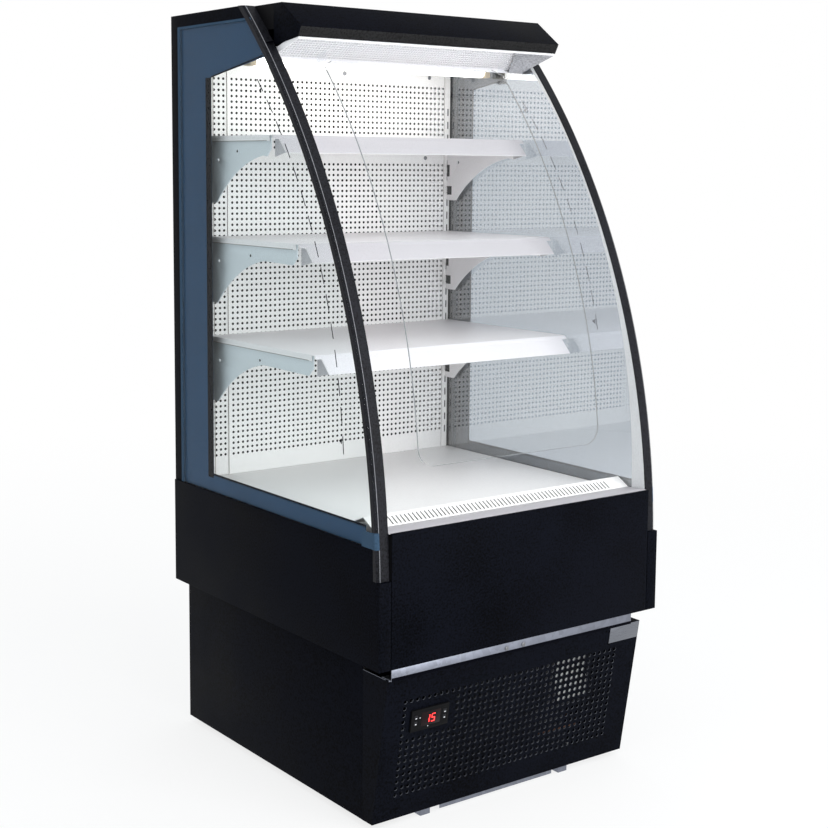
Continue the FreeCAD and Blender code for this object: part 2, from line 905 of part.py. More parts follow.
seam = d.seat_gap
nodes.append(box("air_wall_main", (-wall_seam_x, upright_edge - seam), wall_y, wall_z))
nodes.append(box("air_wall_strip", (-upright_edge + seam, -wall_seam_x - seam), wall_y, wall_z))
nodes.append(group("uprights", *(make_upright("upright_" + w, s) for w, s in SIDES.items())))

# ---------------------------------------------------------------- shelves and brackets


def make_shelf(name, top, reach):
    """Shelf sheet with end flanges, a rolled nose and a sloping ticket lip."""
    nose = wall_face - reach - d.nose_reach
    under = top - d.liner_sheet
    rear = wall_face - d.shelf_rear_gap
    path = [(rear, top), (nose + d.nose_start, top), (nose, top - d.nose_fall)]
    lip_end = (nose - d.lip_reach, top - d.nose_fall - d.lip_fall)
    half = liner_edge - d.shelf_end_gap
    tray = plate(name + "_tray", "YZ", (-half, half), [fold(path, d.liner_sheet, 1)])
    lip_path = [*path[1:], lip_end]
    lip_half = half - d.lip_inset
    lip = plate(name + "_lip", "YZ", (-lip_half, lip_half), [fold(lip_path, d.liner_sheet, 1)])
    front_y = wall_face - reach
    ends = [
        box(
            f"{name}_end_{w}",
            mirrored(s, half - d.liner_sheet, half),
            (front_y, rear),
            (top - d.shelf_flange, under),
        )
        for w, s in SIDES.items()
    ]
    return fuse(name, tray, lip, *ends)


def bracket_outline(top, reach):
    """Side view of a shelf bracket: straight top, curved underside, deep at the wall."""
    upper = top - d.liner_sheet
    rear = wall_face - d.seat_gap
    nose = wall_face - reach
    return [
        (rear, upper),
        (nose, upper),
        (nose, top - d.bracket_nose),
        (nose + d.bracket_nose_run, top - d.bracket_belly),
        (wall_face - d.bracket_arc_reach, top - d.bracket_waist, d.bracket_arc_radius, "right"),
        (wall_face - d.bracket_foot, top - d.bracket_tail),
        (rear, top - d.bracket_tail),
    ]


def make_bracket(name, top, reach, side):
    """One bracket with two hooks that reach through the upright's slots."""
    middle = side * slot_x
    x = (middle - d.bracket_sheet / 2, middle + d.bracket_sheet / 2)
    hole = (wall_face - d.bracket_hole_back, top - d.bracket_hole_drop, d.bracket_hole_radius)
    arm = plate(name + "_arm", "YZ", x, [bracket_outline(top, reach)], [hole])
    hooks = []
    for index in range(COUNTS["hooks"]):
        hook_z = top - d.hook_drop - index * COUNTS["slots_between_hooks"] * slot_pitch
        y = (wall_face - d.seat_gap, wall_face + d.hook_reach)
        z = (hook_z - d.hook_rise / 2, hook_z + d.hook_rise / 2)
        hooks.append(box(f"{name}_hook_{index + 1}", x, y, z))
    return fuse(name, arm, *hooks)


SHELVES = {
    "bottom": (shelf_tops[0], d.depth_bottom),
    "middle": (shelf_tops[1], d.depth_middle),
    "top": (shelf_tops[2], d.depth_top),
}
for word, (top, reach) in SHELVES.items():
    nodes.append(make_shelf("shelf_" + word, top, reach))
    pair = [make_bracket(f"bracket_{word}_{w}", top, reach, s) for w, s in SIDES.items()]
    nodes.append(group("brackets_" + word, *pair))

# ---------------------------------------------------------------- canopy, outlet, ceiling, lamp


def make_canopy():
    """Folded black cover with closed ends, nose over the shelves."""
    end = behind(d.canopy_end)
    top = (behind(d.canopy_top), d.height)
    nose = (behind(d.canopy_nose), d.height - d.canopy_nose_drop)
    lip = (behind(d.canopy_lip), d.height - d.canopy_lip_drop)
    heel = (behind(d.canopy_heel), ceiling)
    sheet_half = liner_edge - d.sheet
    path = [(end, d.height), top, nose, lip]
    cover = plate("canopy_sheet", "YZ", (-sheet_half, sheet_half), [fold(path, d.sheet, 1)])
    outline = [(end, d.height), top, nose, lip, heel, (end, ceiling)]
    caps = [plate("canopy_cap_" + w, "YZ", mirrored(s, sheet_half, liner_edge), [outline]) for w, s in SIDES.items()]
    return fuse("canopy_cover", cover, *caps)


outlet_half = liner_edge - d.sheet - d.seat_gap
outlet_front = (behind(d.canopy_lip) + d.sheet, d.height - d.outlet_drop)
outlet_rear = (outlet_front[0] + d.outlet_run, outlet_front[1] - d.outlet_fall)


def outlet_underside(y):
    """Height of the sloping air outlet's lower face at a place along Y."""
    return outlet_front[1] - (y - outlet_front[0]) * d.outlet_fall / d.outlet_run


def make_ceiling():
    """White ceiling sheet, turned down in front to meet the air outlet."""
    slab_end = outlet_rear[0] + d.outlet_thickness * d.outlet_fall / d.outlet_run
    start = slab_end + d.seat_gap + d.liner_sheet
    path = [(start, ceiling - d.ceiling_flange), (start, ceiling), (wall_face - d.seat_gap, ceiling)]
    return plate("ceiling_liner", "YZ", (-liner_edge, liner_edge), [fold(path, d.liner_sheet, 1)])


nodes.append(make_canopy())
nodes.append(
    plate(
        "honeycomb_outlet",
        "YZ",
        (-outlet_half, outlet_half),
        [fold([outlet_front, outlet_rear], d.outlet_thickness, 1)],
    )
)
nodes.append(make_ceiling())
lamp_y = behind(d.lamp_back)
lamp_z = d.height - d.lamp_drop
lamp_half = liner_edge - d.lamp_end_gap
nodes.append(rod("lamp_tube", "x", d.lamp_radius, (-lamp_half, lamp_y, lamp_z), 2 * lamp_half))
holder_y = (lamp_y - d.lamp_radius, lamp_y + d.lamp_radius)
holder_z = (lamp_z - d.lamp_radius, ceiling)
holders = [
    box("lamp_holder_" + w, mirrored(s, lamp_half, lamp_half + d.lamp_holder_length), holder_y, holder_z)
    for w, s in SIDES.items()
]
nodes.append(group("lamp_holders", *holders))

# ---------------------------------------------------------------- clear front screen

screen_low = base_top + d.screen_low
screen_high = d.height - d.screen_drop
screen_half = liner_edge - d.screen_side_gap
pin_inset = d.screen_thickness + d.clip_thickness / 2
hinge_y = screen_y(hinge_z, pin_inset)


def make_screen():
    """Curved clear sheet with round lower corners and cut upper corners."""
    half = screen_half
    band = curved_band(screen_low, screen_high, as_size(0), d.screen_thickness, screen_y, screen_arc[2])
    curved = plate("screen_band", "YZ", (-half, half), [band])
    round_z = screen_low + d.screen_corner
    cut_z = screen_high - d.screen_cut_height
    face = [
        (-half + d.screen_corner, screen_low),
        (half - d.screen_corner, screen_low, d.screen_corner, "left"),
        (half, round_z),
        (half, cut_z),
        (half - d.screen_cut_width, screen_high),
        (-half + d.screen_cut_width, screen_high),
        (-half, cut_z),
        (-half, round_z, d.screen_corner, "left"),
    ]
    outline = plate("screen_outline", "XZ", (front, back), [face])
    return common("front_screen", curved, outline)


def make_clip(name, side):
    """Clip behind an upper corner of the screen, with a hinge pin pointing outwards."""
    low = hinge_z - d.clip_below
    high = hinge_z + d.clip_above
    inner = d.screen_thickness + d.clip_thickness
    band = curved_band(low, high, d.screen_thickness, inner, screen_y, screen_arc[2])
    far = screen_half
    block = plate(name + "_block", "YZ", mirrored(side, far - d.clip_width, far), [band])
    pin_span = mirrored(side, far - d.clip_width / 2, far + d.pin_length)
    pin = rod(name + "_pin", "x", d.pin_radius, (pin_span[0], hinge_y, hinge_z), pin_span[1] - pin_span[0])
    return fuse(name, block, pin)


def make_hanger(name, side):
    """Bracket under the air outlet with the pin's hole and a stop behind the clip."""
    near = screen_half + d.hanger_gap
    y = (hinge_y - d.hanger_half_depth, hinge_y + d.hanger_half_depth)
    low = hinge_z - d.stop_low
    outline = [
        (y[0], low),
        (y[1], low),
        (y[1], outlet_underside(y[1]) - d.seat_gap),
        (y[0], outlet_underside(y[0]) - d.seat_gap),
    ]
    hole = (hinge_y, hinge_z, d.pin_radius + d.running_gap)
    web = plate(name + "_web", "YZ", mirrored(side, near, near + d.hanger_sheet), [outline], [hole])
    stop_y = (hinge_y + d.stop_start, hinge_y + d.stop_end)
    stop_z = (low, hinge_z - d.stop_high)
    stop = box(name + "_stop", mirrored(side, near - d.stop_width, near), stop_y, stop_z)
    return fuse(name, web, stop)


nodes.append(make_screen())
nodes.append(group("screen_clips", *(make_clip("screen_clip_" + w, s) for w, s in SIDES.items())))
nodes.append(group("screen_hangers", *(make_hanger("screen_hanger_" + w, s) for w, s in SIDES.items())))

# ---------------------------------------------------------------- base, front grille and rail

base_inner = base_half - d.sheet
bezel_left = -(base_half - d.bezel_margin)
bezel_x = (bezel_left, bezel_left + d.bezel_width)
base_rear = back - d.base_rear_gap
gland_x = -(base_half - d.gland_margin)
base_front = behind(d.base_front)


def make_base_side(name, side):
    """Base side sheet with a wide bottom flange and a narrow top flange."""
    y = (base_front, base_rear)
    z = (base_floor, base_top)
    half = base_half
    wall = box(name + "_wall", mirrored(side, base_inner, half), y, z)
    floor_x = mirrored(side, half - d.base_floor_flange, half)
    floor = box(name + "_floor", floor_x, y, (base_floor, base_floor + d.sheet))
    top_x = mirrored(side, half - d.base_top_flange, half)
    top = box(name + "_top", top_x, y, (base_top - d.sheet, base_top))
    return fuse(name, wall, floor, top)


def make_base_back():
    """Rear sheet of the base with the hole for the cable gland."""
    half = base_inner - d.seat_gap
    z = (base_floor + d.sheet + d.seat_gap, base_top - d.sheet - d.seat_gap)
    hole = (gland_x, base_floor + d.gland_rise, d.gland_radius)
    return plate("base_back_panel", "XZ", (base_rear - d.sheet, base_rear), [rectangle((-half, half), z)], [hole])


def make_front_grille():
    """Leaning front sheet with wedge-shaped side returns and a cut-out for the controller."""
    half = base_half
    foot = (behind(d.grille_foot), base_floor)
    length = d.grille_height / cosine(d.grille_tilt)
    head = on_grille(length, as_size(0))
    flange_end = (head[0] + d.grille_top_flange, head[1])
    face = plate("grille_face", "YZ", (-half, half), [fold([foot, head, flange_end], d.sheet, -1)])
    rear = base_front - d.seat_gap
    wedge = [foot, (rear, base_floor), (rear, head[1]), head]
    returns = [plate("grille_return_" + w, "YZ", mirrored(s, base_inner, half), [wedge]) for w, s in SIDES.items()]
    hole_x = (bezel_x[0] + d.case_inset - d.seat_gap, bezel_x[1] - d.case_inset + d.seat_gap)
    low = d.bezel_rise + d.case_inset - d.seat_gap
    high = d.bezel_rise + d.bezel_height - d.case_inset + d.seat_gap
    window = leaning_box("grille_window", hole_x, (low, high), (-d.sheet, 2 * d.sheet))
    return cut("front_grille", fuse("grille_sheet", face, *returns), window)


def make_front_rail():
    """Bare steel channel between the grille and the front panel."""
    low = base_floor + d.grille_height + d.rail_gap
    high = base_top - d.seat_gap
    near = behind(d.rail_front)
    far = near + d.rail_depth
    path = [(far, low), (near, low), (near, high), (far, high)]
    return plate("front_rail", "YZ", (-base_inner + d.seat_gap, base_half - d.rail_end_gap), [fold(path, d.sheet, -1)])


for word, side in SIDES.items():
    nodes.append(make_base_side("base_side_" + word, side))
nodes.append(make_base_back())
nodes.append(make_front_grille())
nodes.append(make_front_rail())
plate_right = base_half - d.plate_margin
plate_x = (plate_right - d.plate_width, plate_right)
plate_along = (d.plate_rise, d.plate_rise + d.plate_height)
nodes.append(leaning_box("blank_plate", plate_x, plate_along, (-d.plate_thickness, as_size(0))))

# ---------------------------------------------------------------- controller

bezel_along = (d.bezel_rise, d.bezel_rise + d.bezel_height)
bezel_in = (-d.bezel_thickness, as_size(0))
key_middles = [
    (bezel_x[0] + d.key_column, bezel_along[0] + d.key_high),
    (bezel_x[0] + d.key_column, bezel_along[0] + d.key_low),
    (bezel_x[1] - d.key_column, bezel_along[0] + d.key_high),
    (bezel_x[1] - d.key_column, bezel_along[0] + d.key_low),
]
lens_x = (bezel_x[0] + d.window_left, bezel_x[0] + d.window_left + d.window_width)
lens_along = (bezel_along[0] + d.window_low, bezel_along[0] + d.window_low + d.window_height)
lens_in = (-d.bezel_thickness, -d.bezel_thickness + d.window_depth)


def around(middle, half):
    return (middle - half, middle + half)


def make_controller_case():
    """Bezel and case, with pockets for four keys and a recess for the red window."""
    bezel = leaning_box("controller_bezel", bezel_x, bezel_along, bezel_in)
    body_x = (bezel_x[0] + d.case_inset, bezel_x[1] - d.case_inset)
    body_along = (bezel_along[0] + d.case_inset, bezel_along[1] - d.case_inset)
    body = leaning_box("controller_body", body_x, body_along, (as_size(0), d.case_depth))
    half = d.key_size / 2 + d.key_gap
    pocket_in = (-d.bezel_thickness, -d.bezel_thickness + d.key_pocket)
    pockets = [
        leaning_box(f"key_pocket_{index}", around(x, half), around(along, half), pocket_in)
        for index, (x, along) in enumerate(key_middles, start=1)
    ]
    recess = leaning_box("window_recess", lens_x, lens_along, lens_in)
    return cut("controller_case", fuse("controller_solid", bezel, body), recess, *pockets)


nodes.append(make_controller_case())
nodes.append(leaning_box("controller_window", lens_x, lens_along, lens_in))
key_in = (-d.bezel_thickness - d.key_proud, -d.bezel_thickness - d.key_proud + d.key_length)
for index, (x, along) in enumerate(key_middles, start=1):
    half = d.key_size / 2
    nodes.append(leaning_box(f"controller_key_{index}", around(x, half), around(along, half), key_in))

# ---------------------------------------------------------------- fans and their mounts


def make_fan(name, x, face_y, z, radius):
    """Axial fan: hub, shaft and twisted blades, turning about Y."""
    body = doc.addObject("PartDesign::Body", name)
    body.Placement = FreeCAD.Placement(FreeCAD.Vector(), FreeCAD.Rotation(FreeCAD.Vector(1, 0, 0), -90))
    place(body, x, face_y + d.hub_offset, z)
    hub_sketch = draw(body, "XY", name + "_hub", circles=[(0, 0, d.hub_share_radius)])
    extrude(body, hub_sketch, d.hub_depth)
    shaft_sketch = draw(body, "XY", name + "_shaft", circles=[(0, 0, d.shaft_radius)])
    extrude(body, shaft_sketch, d.shaft_length)
    chord = d.blade_half_chord
    low = (d.hub_depth - d.blade_rise) / 2
    high = low + d.blade_rise - d.blade_sheet
    section = [(-chord, low), (chord, high), (chord, high + d.blade_sheet), (-chord, low + d.blade_sheet)]
    blade = extrude(body, draw(body, "YZ", name + "_blade", [section]), radius)
    ring = body.newObject("PartDesign::PolarPattern", name + "_blades")
    ring.Originals = [blade]
    ring.Axis = (hub_sketch, ["N_Axis"])
    ring.Angle = 360
    ring.Occurrences = COUNTS["fan_blades"]
    body.Tip = ring
    return body


def make_fan_mount(name, x_span, z_span, centre, face_y, radius):
    """Sheet with a round opening and ring, and a motor on four arms behind the fan."""
    x, z = centre
    opening = radius + d.ring_clear
    reach = opening + d.arm_reach
    sheet_y = (face_y, face_y + d.sheet)
    arm_y = (face_y + d.arm_offset, face_y + d.arm_offset + d.arm_sheet)
    half = d.arm_width / 2
    wall = box(name + "_sheet", x_span, sheet_y, z_span)
    ring = rod(name + "_ring", "y", opening + d.sheet, (x, face_y, z), d.ring_depth)
    parts = [wall, ring]
    parts.append(box(name + "_arm_level", (x - reach, x + reach), arm_y, around(z, half)))
    parts.append(box(name + "_arm_upright", around(x, half), arm_y, (z - reach, z + reach)))
    leg_y = (face_y, arm_y[1])
    leg = (opening + d.sheet / 2, reach)
    parts.append(box(name + "_leg_right", (x + leg[0], x + leg[1]), leg_y, around(z, half)))
    parts.append(box(name + "_leg_left", (x - leg[1], x - leg[0]), leg_y, around(z, half)))
    parts.append(box(name + "_leg_top", around(x, half), leg_y, (z + leg[0], z + leg[1])))
    parts.append(box(name + "_leg_low", around(x, half), leg_y, (z - leg[1], z - leg[0])))
    parts.append(rod(name + "_motor", "y", d.motor_radius, (x, arm_y[0], z), d.motor_length))
    hole = rod(name + "_opening", "y", opening, (x, face_y, z), d.ring_depth)
    bore_length = d.hub_offset + d.shaft_length - d.arm_offset + d.seat_gap
    bore = rod(name + "_bore", "y", d.shaft_radius + d.running_gap, (x, arm_y[0], z), bore_length)
    return cut(name, fuse(name + "_solid", *parts), hole, bore)


def make_coil(name, x, y, z):
    """Finned block between two taller end plates."""
    margin = d.end_plate_margin
    inner_x = (x[0] + d.sheet, x[1] - d.sheet)
    core = box(name + "_core", inner_x, (y[0] + margin, y[1] - margin), (z[0] + margin, z[1] - margin))
    first = box(name + "_plate_left", (x[0], inner_x[0]), y, z)
    second = box(name + "_plate_right", (inner_x[1], x[1]), y, z)
    return fuse(name, core, first, second)


tray_top = base_floor + d.sheet
tray_half = base_inner - d.tray_margin
box_x = (base_inner - d.box_margin - d.box_width, base_inner - d.box_margin)
condenser_x = (-(tray_half - d.condenser_margin), box_x[0] - d.condenser_to_box)
condenser_y = (behind(d.condenser_front), behind(d.condenser_front + d.condenser_depth))
condenser_z = (tray_top, tray_top + d.condenser_height)
nodes.append(make_coil("condenser", condenser_x, condenser_y, condenser_z))
fan_centre = (d.fan_x, tray_top + d.fan_rise)
fan_face = condenser_y[1] + d.seat_gap
nodes.append(
    make_fan_mount("condenser_fan_mount", condenser_x, condenser_z, fan_centre, fan_face, d.fan_radius)
)
nodes.append(make_fan("condenser_fan", fan_centre[0], fan_face, fan_centre[1], d.fan_radius))

evaporator_x = (-(liner_edge - d.evaporator_left), liner_edge - d.evaporator_right)
evaporator_y = (behind(d.evaporator_front), behind(d.evaporator_front + d.evaporator_depth))
nodes.append(make_coil("evaporator", evaporator_x, evaporator_y, (tub_floor, tub_floor + d.evaporator_height)))
tub_fan_face = behind(d.tub_fan_back)
tub_fan_centre = (as_size(0), tub_floor + d.tub_fan_rise)
tub_wall_x = (-liner_edge + d.tub_wall_gap, liner_edge - d.tub_wall_gap)
tub_wall_z = (tub_floor, deck_top - d.liner_sheet - d.seat_gap)
nodes.append(
    make_fan_mount(
        "evaporator_fan_mount", tub_wall_x, tub_wall_z, tub_fan_centre, tub_fan_face, d.tub_fan_radius
    )
)
nodes.append(make_fan("evaporator_fan", tub_fan_centre[0], tub_fan_face, tub_fan_centre[1], d.tub_fan_radius))

# ---------------------------------------------------------------- condensing unit

compressor_y = behind(d.compressor_back)
shell_floor = tray_top + d.grommet_height + d.sheet
stub_top = shell_floor + d.compressor_wall + d.stub_height


def make_compressor():
    """Domed steel shell on a mounting plate with four rubber feet and two pipe stubs."""
    shell = doc.addObject("PartDesign::Body", "compressor_shell")
    place(shell, d.compressor_x, compressor_y, shell_floor)
    radius = d.compressor_radius
    dome = (radius * radius + d.compressor_dome * d.compressor_dome) / (2 * d.compressor_dome)
    profile = [
        (as_size(0), as_size(0)),
        (radius, as_size(0)),
        (radius, d.compressor_wall, dome, "left"),
        (as_size(0), d.compressor_wall + d.compressor_dome),
    ]
    sketch = draw(shell, "XZ", "compressor_profile", [profile])
    turned = shell.newObject("PartDesign::Revolution", "compressor_turned")
    turned.Profile = sketch
    turned.ReferenceAxis = (sketch, ["V_Axis"])
    turned.Angle = 360
    half = d.compressor_plate / 2
    x = around(d.compressor_x, half)
    y = around(compressor_y, half)
    foot = box("compressor_plate", x, y, (shell_floor - d.sheet, shell_floor))
    parts = [shell, foot]
    inset = d.grommet_inset
    for index, (px, py) in enumerate(rectangle((x[0] + inset, x[1] - inset), (y[0] + inset, y[1] - inset))):
        start = (px, py, tray_top)
        parts.append(rod(f"grommet_{index + 1}", "z", d.grommet_radius, start, d.grommet_height))
    for word, side in SIDES.items():
        start = (d.compressor_x + side * d.stub_x, compressor_y, shell_floor + d.compressor_wall)
        parts.append(rod("compressor_stub_" + word, "z", d.stub_radius, start, d.stub_height))
    return fuse("compressor", *parts)


def make_unit_tray():
    """Sliding tray of the condensing unit on two floor runners, with a ribbed front lip."""
    y = (behind(d.tray_front), base_rear - d.sheet - d.seat_gap)
    x = (-tray_half, tray_half)
    parts = [box("tray_sheet", x, y, (base_floor, tray_top))]
    lip_x = (-(tray_half - d.tray_lip_left), tray_half - d.tray_lip_right)
    lip_y = (y[0], y[0] + d.sheet)
    parts.append(box("tray_lip", lip_x, lip_y, (base_floor - d.tray_lip_height, base_floor)))
    for word, middle in (("left", -(tray_half - d.runner_left)), ("right", tray_half - d.runner_right)):
        runner_x = around(middle, d.runner_width / 2)
        parts.append(box("tray_runner_" + word, runner_x, y, (as_size(0), base_floor)))
    return fuse("unit_tray", *parts)


def make_electric_box():
    """White terminal box on an upright bracket that stands on the tray."""
    y = (behind(d.box_front), behind(d.box_front + d.box_depth))
    z = (base_floor + d.box_rise, base_floor + d.box_rise + d.box_height)
    case = box("electric_case", box_x, y, z)
    leg_x = (box_x[0], tray_half)
    leg = box("electric_bracket", leg_x, (y[1], y[1] + d.sheet), (tray_top, z[1]))
    return fuse("electric_box", case, leg)


def make_condensate_tray():
    """Open plastic pan that catches the drain water."""
    plate_edge = d.compressor_x - d.compressor_plate / 2
    x = (-(tray_half - d.pan_margin), plate_edge - d.pan_to_compressor)
    y = (behind(d.pan_front), behind(d.pan_front + d.pan_depth))
    z = (tray_top, tray_top + d.pan_height)
    outer = box("pan_outer", x, y, z)
    wall = d.pan_wall
    inner = box("pan_inner", (x[0] + wall, x[1] - wall), (y[0] + wall, y[1] - wall), (z[0] + wall, z[1]))
    return cut("condensate_tray", outer, inner)


nodes.append(make_unit_tray())
nodes.append(make_compressor())
nodes.append(make_electric_box())
nodes.append(make_condensate_tray())

# ---------------------------------------------------------------- pipework


def bent_tube(points, radius, bend):
    """A round tube along straight runs joined by tangent arcs."""
    spots = [FreeCAD.Vector(*(as_size(value).value for value in point)) for point in points]
    edges = []
    here = spots[0]
    for before, corner, after in zip(spots, spots[1:], spots[2:]):
        way_in = (corner - before).normalize()
        way_out = (after - corner).normalize()
        setback = bend * math.tan(way_in.getAngle(way_out) / 2)
        start = corner - way_in * setback
        end = corner + way_out * setback
        bulge = (way_out - way_in).normalize()
        centre = corner + bulge * math.hypot(bend, setback)
        edges.append(Part.LineSegment(here, start).toShape())
        edges.append(Part.Arc(start, centre - bulge * bend, end).toShape())
        here = end
    edges.append(Part.LineSegment(here, spots[-1]).toShape())
    circle = Part.makeCircle(radius, spots[0], spots[1] - spots[0])
    return Part.Wire(edges).makePipe(Part.Face(Part.Wire([circle])))


def make_pipework():
    """Discharge, suction and liquid lines and the straight drain tube."""
    gap = d.seat_gap
    bend = d.bend_radius.value
    loop_z = stub_top + d.suction_loop_rise
    line_y = condenser_y[0] + d.condenser_depth / 2
    left_stub = d.compressor_x - d.stub_x
    right_stub = d.compressor_x + d.stub_x
    over_fan = condenser_z[1] + d.bend_radius
    discharge = [
        (left_stub, compressor_y, stub_top),
        (left_stub, compressor_y, over_fan),
        (left_stub, line_y, over_fan),
        (left_stub, line_y, condenser_z[1] - d.end_plate_margin + gap),
    ]
    hole_y = back - d.pipe_hole_to_back
    riser_x = pipe_hole_x + d.suction_radius
    riser_y = hole_y + d.riser_offset
    coil_y = evaporator_y[0] + d.evaporator_depth / 2
    coil_z = tub_floor + d.evaporator_height / 2
    suction = [
        (evaporator_x[1] + gap, coil_y, coil_z),
        (riser_x, coil_y, coil_z),
        (riser_x, riser_y, coil_z),
        (riser_x, riser_y, loop_z),
        (right_stub, riser_y, loop_z),
        (right_stub, compressor_y, loop_z),
        (right_stub, compressor_y, stub_top),
    ]
    low_z = tray_top + d.liquid_line_rise
    liquid_x = pipe_hole_x - 2 * d.liquid_radius
    liquid_y = hole_y - 3 * d.liquid_radius
    feed_y = coil_y + d.liquid_line_back
    feed_z = coil_z + d.liquid_line_lift
    liquid = [
        (condenser_x[1] + gap, line_y, low_z),
        (liquid_x, line_y, low_z),
        (liquid_x, liquid_y, low_z),
        (liquid_x, liquid_y, feed_z),
        (liquid_x, feed_y, feed_z),
        (evaporator_x[1] + gap, feed_y, feed_z),
    ]
    radii = (d.liquid_radius, d.suction_radius, d.liquid_radius)
    tubes = [bent_tube(line, radius.value, bend) for line, radius in zip((discharge, suction, liquid), radii)]
    drain_low = tray_top + d.drain_clear
    drain = Part.makeCylinder(
        d.drain_radius.value,
        (tub_floor - drain_low).value,
        FreeCAD.Vector((-d.drain_x).value, behind(d.drain_back).value, drain_low.value),
    )
    pipes = doc.addObject("Part::Feature", "pipework")
    pipes.Shape = Part.makeCompound([*tubes, drain])
    return pipes


nodes.append(make_pipework())

# ---------------------------------------------------------------- feet, gland and screws


def make_foot(name, x, y):
    """Levelling foot: round pad and threaded stem under the base flange."""
    pad = rod(name + "_pad", "z", d.foot_radius, (x, y, as_size(0)), d.foot_pad)
    stem = rod(name + "_stem", "z", d.foot_stem, (x, y, d.foot_pad), base_floor - d.foot_pad)
    return fuse(name, pad, stem)


def make_gland():
    """Cable gland in the base's rear sheet: body and outer flange."""
    z = base_floor + d.gland_rise
    body_start = (gland_x, base_rear - 2 * d.sheet - d.gland_flange, z)
    body = rod("gland_body", "y", d.gland_radius - d.running_gap, body_start, 2 * d.sheet + d.gland_flange)
    flange = rod("gland_flange_disc", "y", d.gland_flange, (gland_x, base_rear, z), d.gland_proud)
    return fuse("cable_gland", body, flange)


def make_screws():
    """Pan heads on the front rail and on the air wall."""
    rail_z = base_top - d.rail_screw_drop
    rail_y = behind(d.rail_front) - d.screw_height
    wall_screw_y = wall_face - d.screw_height
    high = ceiling - d.wall_screw_drop
    low = shelf_tops[2] - d.low_screw_drop
    spots = [
        (-d.rail_screw_left, rail_y, rail_z),
        (-d.rail_screw_right, rail_y, rail_z),
        (d.wall_screw_x, wall_screw_y, high),
        (liner_edge - d.wall_screw_right, wall_screw_y, high),
        (liner_edge - d.low_screw_right, wall_screw_y, low),
    ]
    heads = [
        rod(f"screw_{index}", "y", d.screw_radius, spot, d.screw_height)
        for index, spot in enumerate(spots, start=1)
    ]
    return group("screws", *heads)


foot_x = base_half - d.foot_margin
foot_ys = (behind(d.foot_front), back - d.foot_to_back)
feet = [
    make_foot(f"foot_{word}_{index}", side * foot_x, y)
    for word, side in SIDES.items()
    for index, y in enumerate(foot_ys, start=1)
]
nodes.append(group("feet", *feet))
nodes.append(make_gland())
nodes.append(make_screws())

# ---------------------------------------------------------------- check and write

doc.recompute()
for item in doc.Objects:
    if "Invalid" in item.State or "Error" in item.State:
        raise RuntimeError(f"{item.Name} failed: {item.State}")
for node in nodes:
    if node.Shape.isNull() or not node.Shape.isValid() or not node.Shape.Solids:
        raise RuntimeError(f"{node.Label} has no sound shape")
os.makedirs("parts", exist_ok=True)
for node in nodes:
    node.Shape.exportStep(f"parts/{node.Label}.step")
    print(f"{node.Label}: {len(node.Shape.Solids)} solids, {node.Shape.Volume / 1000:.1f} cm3")
print(f"{len(nodes)} nodes")
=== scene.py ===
"""Looks of the open multideck display fridge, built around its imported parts."""

import math

import bmesh
import bpy
from mathutils import Matrix, Vector


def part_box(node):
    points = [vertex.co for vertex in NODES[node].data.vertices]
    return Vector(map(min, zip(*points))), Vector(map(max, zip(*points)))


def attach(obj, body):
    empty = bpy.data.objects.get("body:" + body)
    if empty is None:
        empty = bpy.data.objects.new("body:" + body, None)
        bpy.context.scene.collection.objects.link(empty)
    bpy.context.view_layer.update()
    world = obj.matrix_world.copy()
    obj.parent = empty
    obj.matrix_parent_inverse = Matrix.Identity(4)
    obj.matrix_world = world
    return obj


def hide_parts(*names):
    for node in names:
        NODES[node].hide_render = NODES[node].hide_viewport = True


bl_info = {
    "name": "Open multideck display fridge",
    "version": (1, 0, 0),
    "blender": (4, 5, 0),
    "location": "View3D > Sidebar > Fridge",
    "description": "Builds the looks of an open multideck display fridge around its parts",
    "category": "Object",
}

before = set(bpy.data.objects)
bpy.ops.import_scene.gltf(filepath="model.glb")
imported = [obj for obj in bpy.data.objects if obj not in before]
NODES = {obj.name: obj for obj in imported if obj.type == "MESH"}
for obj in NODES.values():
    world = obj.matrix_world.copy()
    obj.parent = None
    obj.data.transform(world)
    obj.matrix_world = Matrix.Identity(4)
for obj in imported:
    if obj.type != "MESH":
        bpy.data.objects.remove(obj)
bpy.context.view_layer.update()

MM = 0.001
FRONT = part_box("front_panel")[0].y
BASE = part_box("base_side_left")[0].z
SIDES = {"left": -1, "right": 1}
LEVELS = ("bottom", "middle", "top")
TILT = math.radians(9.15)  # lean of the front grille
UPRIGHT = Matrix.Rotation(math.radians(90), 3, "X")
SHEET_EDGE = 0.45 * MM  # rounding of folded white sheet
RIM_AREA = 1e-5  # faces that are smaller line a punched hole
FILM = 0.1 * MM  # thickness of a printed layer

# arcs of the curved sides and of the clear screen: centre behind the front, height, radius
RAIL_ARC = (1.29970, 0.38620, 1.29500)
SCREEN_ARC = (1.12576, 0.49742, 1.08766)


def at(x, back, up):
    """A place from millimetres across, behind the front and above the base's lower edge."""
    return Vector((x * MM, FRONT + back * MM, BASE + up * MM))


def depth(back):
    """Y of a place in millimetres behind the front."""
    return at(0, back, 0).y


def height(up):
    """Z of a place in millimetres above the base's lower edge."""
    return at(0, 0, up).z


def on_grille(x, along, out):
    """A place on the leaning front grille: across, up its slope, out from its face, in mm."""
    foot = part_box("front_grille")[0].z
    y = FRONT + 52.3 * MM - along * MM * math.sin(TILT) - out * MM * math.cos(TILT)
    z = foot + along * MM * math.cos(TILT) - out * MM * math.sin(TILT)
    return Vector((x * MM, y, z))


# ---------------------------------------------------------------- settings


